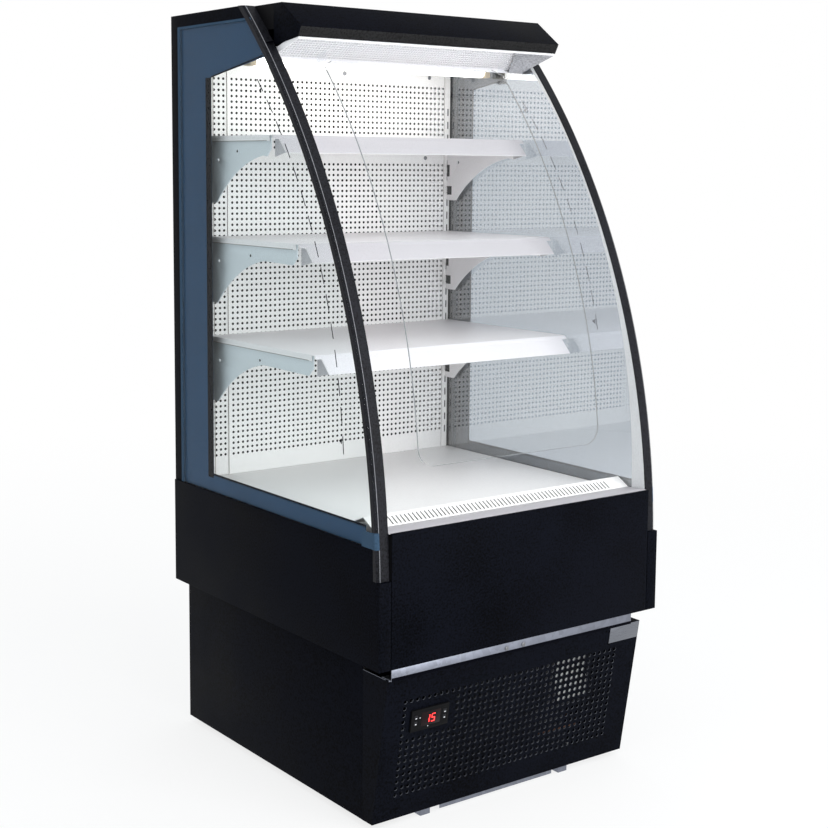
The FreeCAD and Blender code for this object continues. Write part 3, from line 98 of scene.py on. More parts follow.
class FridgeFinishes(bpy.types.PropertyGroup):
    """Colours and sheens of the fridge's surfaces."""

    black: bpy.props.FloatVectorProperty(
        name="Powder coat", description="Colour of the black outside", subtype="COLOR",
        default=(0.0017, 0.0021, 0.0038), min=0, max=1,
    )
    white: bpy.props.FloatVectorProperty(
        name="Liner", description="Colour of the coated sheet inside", subtype="COLOR",
        default=(0.91, 0.895, 0.885), min=0, max=1,
    )
    border: bpy.props.FloatVectorProperty(
        name="Printed border", description="Colour of the print behind the side glass",
        subtype="COLOR", default=(0.0220, 0.0565, 0.1120), min=0, max=1,
    )
    glass: bpy.props.FloatVectorProperty(
        name="Side glass", description="Tint of one face of the side glass", subtype="COLOR",
        default=(0.965, 0.975, 0.975), min=0, max=1,
    )
    digits: bpy.props.FloatVectorProperty(
        name="Display", description="Colour of the controller's lit digits", subtype="COLOR",
        default=(1.0, 0.03, 0.03), min=0, max=1,
    )


class FridgeSizes(bpy.types.PropertyGroup):
    """Sizes of details that the looks add to the parts."""

    wall_hole: bpy.props.FloatProperty(
        name="Air wall hole", description="Width of a hole in the rear air wall",
        default=5.0 * MM, unit="LENGTH", subtype="DISTANCE", min=0.001, max=0.006,
    )
    wall_pitch: bpy.props.FloatProperty(
        name="Air wall pitch", description="Spacing of the holes in the rear air wall",
        default=10 * MM, unit="LENGTH", subtype="DISTANCE", min=0.008, max=0.02,
    )
    grille_hole: bpy.props.FloatProperty(
        name="Grille hole", description="Width of a hole in the front grille",
        default=6.8 * MM, unit="LENGTH", subtype="DISTANCE", min=0.003, max=0.009,
    )
    cell: bpy.props.FloatProperty(
        name="Honeycomb cell", description="Width of a cell in the air outlet",
        default=5.5 * MM, unit="LENGTH", subtype="DISTANCE", min=0.004, max=0.01,
    )
    soft_edge: bpy.props.FloatProperty(
        name="Edge radius", description="Rounding of folded and cut edges",
        default=0.6 * MM, unit="LENGTH", subtype="DISTANCE", min=0.0001, max=0.002,
    )


class FridgeStage(bpy.types.PropertyGroup):
    """Light of the stage."""

    key_power: bpy.props.FloatProperty(
        name="Key light", description="Power of the soft light at the front", default=30,
        unit="POWER", min=0, max=500,
    )
    fill_power: bpy.props.FloatProperty(
        name="Fill light", description="Power of the broad soft light in front", default=79,
        unit="POWER", min=0, max=500,
    )
    lamp_strength: bpy.props.FloatProperty(
        name="Shelf lamp", description="Brightness of the fridge's own lamp tube",
        default=3.6, min=0, max=60,
    )
    sky: bpy.props.FloatProperty(
        name="Room light", description="Brightness of the light all round", default=0.95,
        subtype="FACTOR", min=0, max=1,
    )


# ---------------------------------------------------------------- materials


class Tree:
    """Node tree of a material or a world, built one node at a time."""

    def __init__(self, owner, output="OutputMaterial"):
        owner.use_nodes = True
        self.owner = owner
        self.nodes = owner.node_tree.nodes
        self.links = owner.node_tree.links
        self.nodes.clear()
        self.output = self.add(output)

    def add(self, kind, sockets=None, **settings):
        node = self.nodes.new("ShaderNode" + kind)
        for key, value in settings.items():
            setattr(node, key, value)
        for key, value in (sockets or {}).items():
            if isinstance(value, bpy.types.NodeSocket):
                self.links.new(value, node.inputs[key])
            else:
                node.inputs[key].default_value = value
        return node

    def math(self, operation, *values):
        return self.add("Math", dict(enumerate(values)), operation=operation).outputs[0]

    def place(self):
        return self.add("TexCoord").outputs["Object"]

    def noise(self, scale, detail=2.0, stretch=None):
        vector = self.place()
        if stretch:
            vector = self.add("Mapping", {"Vector": vector, "Scale": stretch}).outputs["Vector"]
        sockets = {"Vector": vector, "Scale": scale, "Detail": detail}
        return self.add("TexNoise", sockets).outputs["Fac"]

    def spread(self, value, low, high, start=0.3, end=0.7):
        ends = {"From Min": start, "From Max": end, "To Min": low, "To Max": high}
        return self.add("MapRange", {"Value": value, **ends}).outputs["Result"]

    def blend(self, factor, first, second):
        sockets = {0: factor, 6: (*first, 1), 7: (*second, 1)}
        return self.add("Mix", sockets, data_type="RGBA").outputs[2]

    def bump(self, relief, strength, distance):
        sockets = {"Height": relief, "Strength": strength, "Distance": distance}
        return self.add("Bump", sockets).outputs["Normal"]

    def finish(self, shader):
        self.links.new(shader.outputs[0], self.output.inputs["Surface"])
        return self.owner

    def principled(self, base, roughness, **sockets):
        named = {key.replace("_", " "): value for key, value in sockets.items()}
        named.update({"Base Color": base, "Roughness": roughness})
        return self.finish(self.add("BsdfPrincipled", named))


def material(name):
    """Empty node tree of a new material."""
    return Tree(bpy.data.materials.new(name))


def shade(colour, share):
    """Colour made lighter or darker by a share."""
    return tuple(min(1.0, channel * share) for channel in colour[:3])


def coated(name, colour, roughness, grain, relief, variation=0.1, shine=0.5, coat=0.0):
    """Painted, moulded or plated surface with a fine grain and a slow drift of tone."""
    tree = material(name)
    drift = tree.noise(7.0, 3.0)
    fine = tree.noise(grain)
    mixed = tree.math("MULTIPLY_ADD", drift, fine, tree.math("MULTIPLY", fine, 0.65))
    tone = tree.spread(mixed, 0.0, 1.0, 0.35, 0.65)
    return tree.principled(
        tree.blend(tone, shade(colour, 1 - variation), shade(colour, 1 + variation)),
        tree.spread(drift, roughness - 0.05, roughness + 0.05),
        Specular_IOR_Level=shine, Coat_Weight=coat, Normal=tree.bump(fine, 0.6, relief * MM),
    )


def galvanised(name, colour):
    """Zinc-coated sheet with a soft spangle."""
    tree = material(name)
    cells = tree.add("TexVoronoi", {"Vector": tree.place(), "Scale": 110.0}).outputs["Color"]
    grey = tree.add("RGBToBW", {"Color": cells}).outputs[0]
    tone = tree.spread(grey, 0.0, 1.0, 0.1, 0.9)
    return tree.principled(
        tree.blend(tone, shade(colour, 0.86), shade(colour, 1.08)),
        tree.spread(tree.noise(12.0, 3.0), 0.3, 0.46),
        Metallic=1.0, Normal=tree.bump(grey, 0.25, 0.2 * MM),
    )


def brushed(name, colour, direction):
    """Bare metal with fine lines along one axis."""
    tree = material(name)
    lines = tree.noise(60.0, 4.0, stretch=direction)
    tone = tree.spread(lines, 0.0, 1.0)
    return tree.principled(
        tree.blend(tone, shade(colour, 0.9), shade(colour, 1.06)),
        tree.spread(lines, 0.24, 0.4),
        Metallic=1.0, Normal=tree.bump(lines, 0.2, 0.1 * MM),
    )


def clear(name, tint, mirror, smear=0.03, glancing=0.7):
    """Clear sheet: shows what is behind it and mirrors more at a glancing angle."""
    tree = material(name)
    facing = tree.add("LayerWeight", {"Blend": 0.5}).outputs["Facing"]
    share = tree.spread(tree.math("POWER", facing, 5.0), mirror, glancing, 0.0, 1.0)
    haze = tree.spread(tree.noise(9.0, 4.0), 0.0, smear)
    see = tree.add("BsdfTransparent", {"Color": (*tint, 1)}).outputs[0]
    gloss = tree.add("BsdfGlossy", {"Color": (1, 1, 1, 1), "Roughness": haze}).outputs[0]
    return tree.finish(tree.add("MixShader", {0: share, 1: see, 2: gloss}))


def glowing(name, colour, strength):
    """Milky moulding, lit from inside."""
    tree = material(name)
    base = tree.blend(tree.spread(tree.noise(30.0), 0.0, 1.0), shade(colour, 0.97), colour)
    return tree.principled(base, 0.35, Emission_Color=base, Emission_Strength=strength)


def tub(name, pale, dark, front, rear, roof):
    """Skin of the insulated tub: pale, but dark in front and on the roof, and dark behind the air
    wall as painted shade seen through its holes.
    """
    tree = material(name)
    place = tree.add("SeparateXYZ", {0: tree.place()}).outputs
    above = tree.math("GREATER_THAN", place["Z"], roof)
    ahead = tree.math("LESS_THAN", place["Y"], front)
    behind = tree.math("GREATER_THAN", place["Y"], rear)
    darkened = tree.math("MAXIMUM", tree.math("MAXIMUM", ahead, behind), above)
    fine = tree.noise(300.0)
    light = tree.blend(fine, shade(pale, 0.95), shade(pale, 1.05))
    base = tree.add("Mix", {0: darkened, 6: light, 7: (*dark, 1)}, data_type="RGBA").outputs[2]
    return tree.principled(
        base, tree.spread(fine, 0.45, 0.6),
        Specular_IOR_Level=0.04, Normal=tree.bump(fine, 0.4, 0.03 * MM),
    )


# coated surfaces: name, colour, roughness, grain, its relief in mm, variation, shine, clear coat
COATED = {
    # a lighter black for the canopy's forward and downward edge, painted light
    "lit_nose": ("underside of the canopy edge", (0.0095, 0.0095, 0.010), 0.5, 330, 0.12, 0.6, 0.08),
    "rail": ("black rail paint", (0.0068, 0.0070, 0.0092), 0.45, 330, 0.1, 0.7, 0.1),
    # the next two are painted highlights: the bright line on the rail chamfer and the bright rims
    # of the grille's holes
    "bevel": ("bright rail edge", (0.16, 0.165, 0.18), 0.3, 700, 0.1, 0.4),
    "punched": ("bright rim of a punched hole", (0.09, 0.095, 0.11), 0.4, 700, 0.05, 0.4),
    "slope": ("white shelf sheet", (0.88, 0.85, 0.86), 0.38, 300, 0.02, 0.025, 0.4),
    "edge": ("polished screen edge", (0.36, 0.37, 0.38), 0.2, 500, 0.02, 0.06, 0.5, 0.4),
    "slate": ("slate print in the open", (0.033, 0.062, 0.102), 0.6, 420, 0.01, 0.2, 0.03),
    "reverse": ("reverse of the slate print", (0.17, 0.21, 0.225), 0.6, 420, 0.01, 0.05, 0.1),
    # the next three are copies of the shelf's white darkened as painted shade: the bottom shelf's
    # lip, the left brackets in blue-grey, and the other lips
    "near": ("white lip near the lamp", (0.68, 0.66, 0.69), 0.4, 300, 0.02, 0.025, 0.3),
    "cool": ("cool white bracket", (0.66, 0.71, 0.75), 0.4, 300, 0.02, 0.025, 0.3),
    "lip": ("lavender white ticket lip", (0.50, 0.48, 0.505), 0.4, 300, 0.02, 0.025, 0.3),
    # black for the window spacer and printed lines, also painted shade in holes, slots and gaps
    "spacer": ("black window spacer", (0.002, 0.0022, 0.004), 0.6, 700, 0.01, 0.2, 0.01),
    "pale": ("pale edge strip", (0.70, 0.71, 0.72), 0.4, 400, 0.03, 0.06),
    "cells": ("white honeycomb", (0.90, 0.89, 0.91), 0.55, 400, 0.02, 0.03, 0.3),
    "shade": ("grey filler plate", (0.34, 0.34, 0.36), 0.5, 330, 0.04, 0.5, 0.1),
    # brown-grey for the air wall's joints, also the painted shadow line under the shelves' folded
    # sides
    "seam": ("brown-grey joint", (0.20, 0.17, 0.15), 0.6, 500, 0.01),
    "cap": ("cream lamp end", (0.60, 0.50, 0.36), 0.5, 500, 0.03, 0.08),
    "moulded": ("grained black moulding", (0.004, 0.004, 0.0045), 0.5, 1200, 0.06, 0.25, 0.05),
    "lens": ("dark red window", (0.006, 0.001, 0.0015), 0.2, 300, 0.01, 0.1, 0.15),
    "key": ("soft key", (0.012, 0.012, 0.014), 0.6, 900, 0.04, 0.15, 0.15),
    "mark": ("pale key mark", (0.55, 0.56, 0.58), 0.5, 600, 0.02, 0.05),
    "shell": ("semi-gloss black enamel", (0.014, 0.014, 0.016), 0.3, 500, 0.04, 0.2),
    "blades": ("black fan plastic", (0.016, 0.016, 0.017), 0.42, 600, 0.04, 0.2),
    "box": ("white moulded box", (0.93, 0.93, 0.91), 0.45, 500, 0.04, 0.04),
    "pan": ("grey moulded pan", (0.20, 0.20, 0.21), 0.5, 500, 0.04, 0.08),
    "rubber": ("hard black foot", (0.02, 0.02, 0.021), 0.55, 700, 0.06, 0.2),
    "line": ("grey printed line", (0.16, 0.17, 0.18), 0.5, 500, 0.01, 0.05),
}
# bare metal: name, colour, stretch of the lines
BRUSHED = {
    "fins": ("thin aluminium fins", (0.14, 0.145, 0.15), (1, 1, 14)),
    "plate": ("bare metal plate", (0.19, 0.20, 0.225), (1, 14, 14)),
    "copper": ("dull copper", (0.30, 0.15, 0.095), (6, 1, 6)),
    "zinc": ("zinc plated screw", (0.22, 0.225, 0.24), (4, 4, 4)),
}
# clear sheets: name, tint of one face, share mirrored, smear, share mirrored at a glance
CLEAR = {
    "mirror": ("coated side glass", (0.70, 0.73, 0.768), 0.195, 0.012),
    "screen": ("clear screen sheet", (0.985, 0.99, 0.99), 0.028, 0.015),
    "hanger": ("clear moulded hanger", (0.975, 0.98, 0.985), 0.01, 0.3, 0.25),
}
FINISH = {}


def make_finishes(scene):
    """Every material of the fridge, by its short name."""
    look = scene.fridge_finishes
    border = tuple(look.border)
    made = {key: coated(*row) for key, row in COATED.items()}
    made.update({key: brushed(*row) for key, row in BRUSHED.items()})
    made.update({key: clear(*row) for key, row in CLEAR.items()})
    made.update({
        "black": coated(
            "textured black powder coat", tuple(look.black), 0.55, 330, 0.12, 0.9, 0.02
        ),
        "white": coated("white coated sheet", tuple(look.white), 0.42, 260, 0.02, 0.02, 0.4),
        "border": coated("slate print behind glass", border, 0.6, 420, 0.01, 0.12, 0.03),
        "steel": galvanised("galvanised sheet", (0.21, 0.225, 0.27)),
        "rear": galvanised("galvanised rear skin", (0.42, 0.44, 0.46)),
        "glass": clear("side glass", tuple(look.glass), 0.003, glancing=0.3),
        "tube": glowing(
            "milky lamp tube", (1.0, 0.985, 0.95), scene.fridge_stage.lamp_strength
        ),
        "digit": glowing("lit red digits", tuple(look.digits), 3.0),
        "foam": tub(
            "insulated tub skin", (0.6, 0.61, 0.62), (0.005, 0.005, 0.006),
            front=-0.2, rear=0.236, roof=1.252,
        ),
    })
    return made


def finish(key):
    """A material by its short name; the first call makes them all."""
    if not FINISH:
        FINISH.update(make_finishes(bpy.context.scene))
    return FINISH[key]


def dress(node, key):
    """Give a CAD node that keeps its shape its material."""
    NODES[node].data.materials.clear()
    NODES[node].data.materials.append(finish(key))


# ---------------------------------------------------------------- mesh helpers


def piece(name, bm, keys, body="cabinet", angle=35, replaced=()):
    """Turn a bmesh into a piece that rides on a body."""
    bmesh.ops.recalc_face_normals(bm, faces=bm.faces)
    mesh = bpy.data.meshes.new(name)
    bm.to_mesh(mesh)
    bm.free()
    if "custom_normal" in mesh.attributes:
        mesh.attributes.remove(mesh.attributes["custom_normal"])
    for key in [keys] if isinstance(keys, str) else keys:
        mesh.materials.append(finish(key))
    mesh.shade_smooth()
    mesh.set_sharp_from_angle(angle=math.radians(angle))
    made = bpy.data.objects.new(name, mesh)
    bpy.context.scene.collection.objects.link(made)
    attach(made, body)
    if replaced:
        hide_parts(*replaced)


def verts_of(geom):
    """The vertices in some geometry."""
    return [item for item in geom if isinstance(item, bmesh.types.BMVert)]


def merged(node):
    """A copy of a CAD node's mesh with its triangles joined into plain faces."""
    bm = bmesh.new()
    bm.from_mesh(NODES[node].data)
    bmesh.ops.remove_doubles(bm, verts=bm.verts, dist=0.01 * MM)
    for face in bm.faces:
        face.material_index = 0
    bmesh.ops.dissolve_limit(bm, angle_limit=math.radians(0.3), verts=bm.verts, edges=bm.edges)
    return bm


def cut_at(bm, place, normal, **options):
    """Cut a mesh along a plane and return the edges of the cut."""
    geom = bm.verts[:] + bm.edges[:] + bm.faces[:]
    cut = bmesh.ops.bisect_plane(bm, geom=geom, plane_co=place, plane_no=normal, **options)
    return [item for item in cut["geom_cut"] if isinstance(item, bmesh.types.BMEdge)]


def keep(bm, place, normal):
    """Keep what lies ahead of a plane and close the cut."""
    edges = cut_at(bm, place, normal, clear_inner=True)
    if edges:
        bmesh.ops.holes_fill(bm, edges=edges, sides=0)
    bmesh.ops.recalc_face_normals(bm, faces=bm.faces)


def round_edges(bm, width, segments=2, edges=None):
    """Round the sharp edges of a closed mesh, or the given edges."""
    if edges is None:
        limit = math.radians(35)
        edges = [e for e in bm.edges if e.is_manifold and e.calc_face_angle(0.0) > limit]
    bmesh.ops.bevel(
        bm, geom=edges, offset=width, offset_type="OFFSET", segments=segments, profile=0.5,
        affect="EDGES", material=-1, clamp_overlap=True,
    )


def softened(node, keys, width, body="cabinet", second=None, cuts=(), name=None):
    """Stand-in for a CAD node with its edges rounded.

    It can be cut at planes first; second(face) picks the faces of the second finish.
    """
    bm = merged(node)
    round_edges(bm, width)
    for place, normal in cuts:
        cut_at(bm, place, normal)
    for face in bm.faces:
        if second and second(face):
            face.material_index = 1
    piece(name or node + "_soft", bm, keys, body, replaced=[node])


def soften_all(*rows):
    """Round the edges of several nodes: node, finish, slot and edge width in millimetres."""
    for node, key, slot, width in rows:
        softened(node, key, width * MM)


def add_box(bm, low, high, matrix=None):
    """A block between two corners."""
    low, high = Vector(low), Vector(high)
    made = bmesh.ops.create_cube(bm, size=1.0)["verts"]
    bmesh.ops.scale(bm, verts=made, vec=high - low)
    bmesh.ops.translate(bm, verts=made, vec=(low + high) / 2)
    if matrix:
        bmesh.ops.transform(bm, matrix=matrix, verts=made)


def add_bar(bm, half, centre, angle, axis="X"):
    """A block of a given half size, turned about an axis through its centre."""
    half = Vector(half)
    add_box(bm, -half, half, Matrix.Translation(centre) @ Matrix.Rotation(angle, 4, axis))


def add_plate(bm, outline, start, end):
    """A plate on YZ with a straight outline, between two places across."""
    face = bm.faces.new([bm.verts.new((start, y, z)) for y, z in outline])
    grown = bmesh.ops.extrude_face_region(bm, geom=[face])["geom"]
    bmesh.ops.translate(bm, verts=verts_of(grown), vec=(end - start, 0, 0))


def add_rod(bm, start, end, radius, sides):
    """A round bar between two points."""
    start, end = Vector(start), Vector(end)
    along = end - start
    turn = along.to_track_quat("Z", "Y").to_matrix().to_4x4()
    return bmesh.ops.create_cone(
        bm, cap_ends=True, segments=sides, radius1=radius, radius2=radius, depth=along.length,
        matrix=Matrix.Translation((start + end) / 2) @ turn,
    )["verts"]


def repeat(bm, geom, count, step):
    """Copies of some geometry, each moved one step on from the last."""
    made = list(geom)
    last = list(geom)
    for _ in range(count - 1):
        last = bmesh.ops.duplicate(bm, geom=last)["geom"]
        bmesh.ops.translate(bm, verts=verts_of(last), vec=step)
        made += last
    return made


def stops(edge_low, first, pitch, count, edge_high):
    """Grid lines of a sheet: its two edges and the cell walls between them."""
    return [edge_low] + [first + (index - 0.5) * pitch for index in range(count + 1)] + [edge_high]


def finer(lines, parts):
    """Grid lines with each gap split into equal parts."""
    split = [
        low + (high - low) * part / parts
        for low, high in zip(lines, lines[1:]) for part in range(parts)
    ]
    return split + [lines[-1]]


def punched(xs, ys, radius, thickness, plain=None, sides=8, window=None):
    """Flat sheet on XY with a round hole in each inner cell of a grid.

    plain(x, y) picks the cells that get no hole; window is the edges of a cut-out.
    """
    bm = bmesh.new()
    parts = sides // 4
    columns, rows = (len(xs) - 1) * parts, (len(ys) - 1) * parts
    fine_x, fine_y = finer(xs, parts), finer(ys, parts)
    bmesh.ops.create_grid(bm, x_segments=columns, y_segments=rows, size=0.5)
    inner = []
    for vert in bm.verts:
        column = round((vert.co.x + 0.5) * columns)
        row = round((vert.co.y + 0.5) * rows)
        vert.co = (fine_x[column], fine_y[row], 0.0)
        if column % parts and row % parts:
            x = sum(xs[column // parts:][:2]) / 2
            y = sum(ys[row // parts:][:2]) / 2
            inside = xs[1] < x < xs[-2] and ys[1] < y < ys[-2]
            if inside and not (plain and plain(x, y)):
                inner.append(vert)
    bmesh.ops.dissolve_verts(bm, verts=inner)
    cells = [face for face in bm.faces if len(face.verts) == sides]
    bmesh.ops.inset_individual(bm, faces=cells, thickness=radius / 2, use_even_offset=True)
    step, corner = math.tau / sides, math.pi / 4
    for face in cells:
        middle = face.calc_center_bounds()
        for vert in face.verts:
            angle = math.atan2(vert.co.y - middle.y, vert.co.x - middle.x) - corner
            angle = round(angle / step) * step + corner
            vert.co = middle + radius * Vector((math.cos(angle), math.sin(angle), 0))
    bmesh.ops.delete(bm, geom=cells, context="FACES_ONLY")
    if window:
        cut_out(bm, *window)
    bmesh.ops.solidify(bm, geom=bm.faces[:], thickness=thickness)
    return bm


def cut_out(bm, left, right, lower, upper):
    """Cut a four-sided window into a flat sheet on XY."""
    margin = 14 * MM  # reach of the cuts past the window, one cell of the sheet

    def within(face, spare):
        middle = face.calc_center_median()
        across = left - spare < middle.x < right + spare
        return across and lower - spare < middle.y < upper + spare

    for place, normal in (
        ((left, 0, 0), (1, 0, 0)), ((right, 0, 0), (1, 0, 0)),
        ((0, lower, 0), (0, 1, 0)), ((0, upper, 0), (0, 1, 0)),
    ):
        faces = [face for face in bm.faces if within(face, margin)]
        edges = {edge for face in faces for edge in face.edges}
        verts = {vert for face in faces for vert in face.verts}
        bmesh.ops.bisect_plane(bm, geom=[*verts, *edges, *faces], plane_co=place, plane_no=normal)
    inside = [face for face in bm.faces if within(face, 0)]
    bmesh.ops.delete(bm, geom=inside, context="FACES")


def stand_up(bm, front):
    """Turn a flat sheet upright and set the Y of its front."""
    bmesh.ops.rotate(bm, verts=bm.verts, matrix=UPRIGHT)
    lowest = min(vert.co.y for vert in bm.verts)
    bmesh.ops.translate(bm, verts=bm.verts, vec=(0, front - lowest, 0))


def mark_rims(bm, outwards, reach=math.inf):
    """Give the insides of a sheet's holes the second finish."""
    bmesh.ops.recalc_face_normals(bm, faces=bm.faces)
    for face in bm.faces:
        across = abs(face.normal.dot(outwards)) < 0.3 and face.calc_area() < RIM_AREA
        if across and abs(face.calc_center_median().x) < reach:
            face.material_index = 1


# ---------------------------------------------------------------- outer shell


class FRIDGE_OT_shell(bpy.types.Operator):
    """Build the black outer skins, the roof and the rear"""

    bl_idname = "fridge.shell"
    bl_label = "Outer shell"

    def execute(self, context):
        width = context.scene.fridge_sizes.soft_edge
        rear, head = depth(630), height(1283)  # where the printed face of the trim ends
        cuts = (((0, rear, 0), (0, 1, 0)), ((0, 0, head), (0, 0, 1)))
        for side, sign in SIDES.items():
            def is_printed(face, sign=sign):
                middle = face.calc_center_median()
                return middle.y < rear and middle.z < head and middle.x * sign > 0.2

            softened(f"side_skirt_{side}", "black", width)
            softened(
                f"side_trim_{side}", ["black", "slate"], width,
                second=is_printed, cuts=cuts,
            )
            softened(f"base_side_{side}", "black", width)
        softened("front_panel", "black", width)
        softened("top_panel", "black", width)
        dress("foamed_body", "foam")
        softened("back_panel", "rear", width)
        return {"FINISHED"}


class FRIDGE_OT_rails(bpy.types.Operator):
    """Build the curved front rails with a bright line painted on their chamfer as a highlight"""

    bl_idname = "fridge.rails"
    bl_label = "Curved rails"

    def execute(self, context):
        for side, sign in SIDES.items():
            self.rail(side, sign)
        return {"FINISHED"}

    def rail(self, side, sign):
        """Folded profile swept along the arc; its foot is printed over as the sill is."""
        node = f"side_rail_{side}"
        low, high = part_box(node)
        inner, outer = (sign * x for x in sorted((abs(low.x), abs(high.x))))
        # the bright line on the chamfer is a painted highlight
        lean_x, lean_r, line = 5.3 * MM, 4.2 * MM, 0.45 * MM  # chamfer and its bright line
        wall, flange = 1.6 * MM, 11.5 * MM
        radius = RAIL_ARC[2]
        centre = Vector((0, FRONT + RAIL_ARC[0], RAIL_ARC[1]))
        profile = [
            (inner, radius),
            (outer - sign * (lean_x + line), radius),
            (outer - sign * (lean_x - line), radius - line),
            (outer, radius - lean_r),
            (outer, radius - flange),
            (outer - sign * wall, radius - flange),
            (outer - sign * (lean_x + line), radius - wall),
            (inner, radius - wall),
        ]
        bm = bmesh.new()
        verts = [bm.verts.new((x, centre.y - r, centre.z)) for x, r in profile]
        face = bm.faces.new(verts)
        start = Matrix.Rotation(math.radians(6), 3, "X")
        bmesh.ops.rotate(bm, verts=verts, cent=centre, matrix=start)
        bmesh.ops.spin(
            bm, geom=[face], cent=centre, axis=(-1, 0, 0), angle=math.radians(60), steps=56,
            use_duplicate=False, dvec=(0, 0, 0),
        )
        keep(bm, (0, 0, low.z), (0, 0, 1))
        keep(bm, (0, 0, high.z), (0, 0, -1))
        sill = (height(459.8), height(486))
        for z in sill:
            cut_at(bm, (0, 0, z), (0, 0, 1))
        # the sill foot gets the slate print, and a thin facet on the chamfer gets the bright
        # finish as a painted highlight
        for face in bm.faces:
            middle = face.calc_center_median()
            reach = math.hypot(middle.y - centre.y, middle.z - centre.z)
            on_line = radius - line < reach < radius - 0.2 * line
            if abs(middle.x) > abs(outer) - lean_x - line and sill[0] < middle.z < sill[1]:
                face.material_index = 2
            elif on_line and abs(middle.x) < abs(outer) - lean_x + line:
                face.material_index = 1
        keys = ["rail", "bevel", "slate"]
        piece(f"rail_{side}", bm, keys, angle=25, replaced=[node])


# ---------------------------------------------------------------- glazing


class FRIDGE_OT_glazing(bpy.types.Operator):
    """Build the side glass, its printed border, sill covers, window lines and load lines"""

    bl_idname = "fridge.glazing"
    bl_label = "Side glazing"

    def execute(self, context):
        dress("side_glass_left", "glass")
        dress("edge_strips", "pale")
        self.coated_side()
        for side, sign in SIDES.items():
            self.border(side, sign)
            self.sill_cover(side, sign)
            self.window_line(side, sign)
        self.load_line("left", -293.5, (364, 1182), (106, 579), 58 * MM, "spacer")
        self.load_line("right", 281.6, (360, 1165), (138, 734), 33 * MM, "line")
        return {"FINISHED"}

    def coated_side(self):
        """Right side's panes: the inner one is coated and mirrors the lit shelves."""
        node = "side_glass_right"
        low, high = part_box(node)
        between = ((low.x + high.x) / 2, 0, 0)
        for name, key, way in (("inner", "mirror", -1), ("outer", "glass", 1)):
            bm = merged(node)
            keep(bm, between, (way, 0, 0))
            piece(f"side_pane_{name}_right", bm, key, replaced=[node])

    def border(self, side, sign):
        """Printed layer behind the outer pane, and the filler set back from its edge."""
        node = "glazing_frames"
        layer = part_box(node)[1].x - 0.3 * MM
        for name, key, place, way in (
            ("border_print", "border", layer, sign),
            ("border_filler", "spacer", layer - FILM, -sign),
        ):
            bm = merged(node)
            keep(bm, (0, 0, 0), (sign, 0, 0))
            keep(bm, (sign * place, 0, 0), (way, 0, 0))
            if key == "spacer":
                self.set_back(bm)
            for face in bm.faces:
                if face.normal.x * sign < -0.5:
                    face.material_index = 1
            piece(f"{name}_{side}", bm, [key, "reverse"], replaced=[node])

    def set_back(self, bm):
        """Move the window's edges outwards, away from the clear middle."""
        rear, sill, head_low, head_high = depth(517.5), height(492.3), height(1189), height(1221)
        for vert in bm.verts:
            if abs(vert.co.z - sill) < 1 * MM:
                vert.co.z -= 20 * MM
            if head_low < vert.co.z < head_high:
                vert.co.z += 22 * MM
            if abs(vert.co.y - rear) < 1 * MM:
                vert.co.y += 28 * MM

    def sill_cover(self, side, sign):
        """Printed end of the sill, laid over the rail's flange."""
        low, high, rear = height(459.8), height(485.6), depth(47)
        arc, centre_z, radius = RAIL_ARC
        face, proud = 300.06 * MM, 300.36 * MM
        bm = bmesh.new()
        bmesh.ops.create_grid(bm, x_segments=1, y_segments=6, size=0.5)
        for vert in bm.verts:
            z = low + (vert.co.y + 0.5) * (high - low)
            front = FRONT + arc - math.sqrt(radius * radius - (z - centre_z) ** 2) + 4.4 * MM
            vert.co = (sign * face, front if vert.co.x < 0 else rear, z)
        bm.normal_update()
        bmesh.ops.solidify(bm, geom=bm.faces[:], thickness=0.3 * MM)
        outer = max(abs(vert.co.x) for vert in bm.verts)
        bmesh.ops.translate(bm, verts=bm.verts, vec=(sign * (proud - outer), 0, 0))
        piece(f"sill_cover_{side}", bm, "slate")

    def window_line(self, side, sign):
        """Thin black lines printed along the edges of the clear window."""
        half = 0.08
        rear = {"left": 537, "right": 522}[side]
        start, end = at(0, 517.5, 1191.6), at(0, 345, 1219.2)
        slope = math.atan2(end.z - start.z, end.y - start.y)
        size = (half * MM, (end - start).length / 2, 1.3 * MM)
        bm = bmesh.new()
        for reach in (293.85, 293.25):
            low, high = sorted((sign * (reach - half), sign * (reach + half)))
            add_box(bm, at(low, 517.6, 484), at(high, rear, 1190.6))
            add_box(bm, at(low, 46, 488.6), at(high, 517.5, 492.2))
            middle = (start + end) / 2
            middle.x = (low + high) / 2 * MM
            add_bar(bm, size, middle, slope)
        piece(f"window_line_{side}", bm, "spacer")

    def load_line(self, side, x, start, end, bow, key):
        """Bowed, dashed line that marks how far goods may stand forward, with two triangles."""
        first, last = at(x, *start), at(x, *end)
        chord = last - first
        length = chord.length
        along = chord.normalized()
        across = Vector((0, -along.z, along.y))
        dash, gap = 27 * MM, 17 * MM

        def spot(travel):
            share = travel / length
            return first + chord * share - across * (4 * bow * share * (1 - share))

        bm = bmesh.new()
        for index in range(int(length // (dash + gap)) + 1):
            begin = index * (dash + gap)
            here, there = spot(begin), spot(min(begin + dash, length))
            slope = math.atan2(there.z - here.z, there.y - here.y)
            size = (FILM / 2, (there - here).length / 2, 1.1 * MM)
            add_bar(bm, size, (here + there) / 2, slope)
        flat = Matrix.Rotation(math.radians(90), 4, "Y")
        for travel in (24 * MM, length - 32 * MM):
            mark = bmesh.ops.create_cone(
                bm, cap_ends=True, segments=3, radius1=5.5 * MM, radius2=5.5 * MM, depth=FILM,
                matrix=Matrix.Translation(spot(travel)) @ flat,
            )["verts"]
            bmesh.ops.translate(bm, verts=mark, vec=(0, 6 * MM, 0))
        piece(f"load_line_{side}", bm, key)


# ---------------------------------------------------------------- cold space


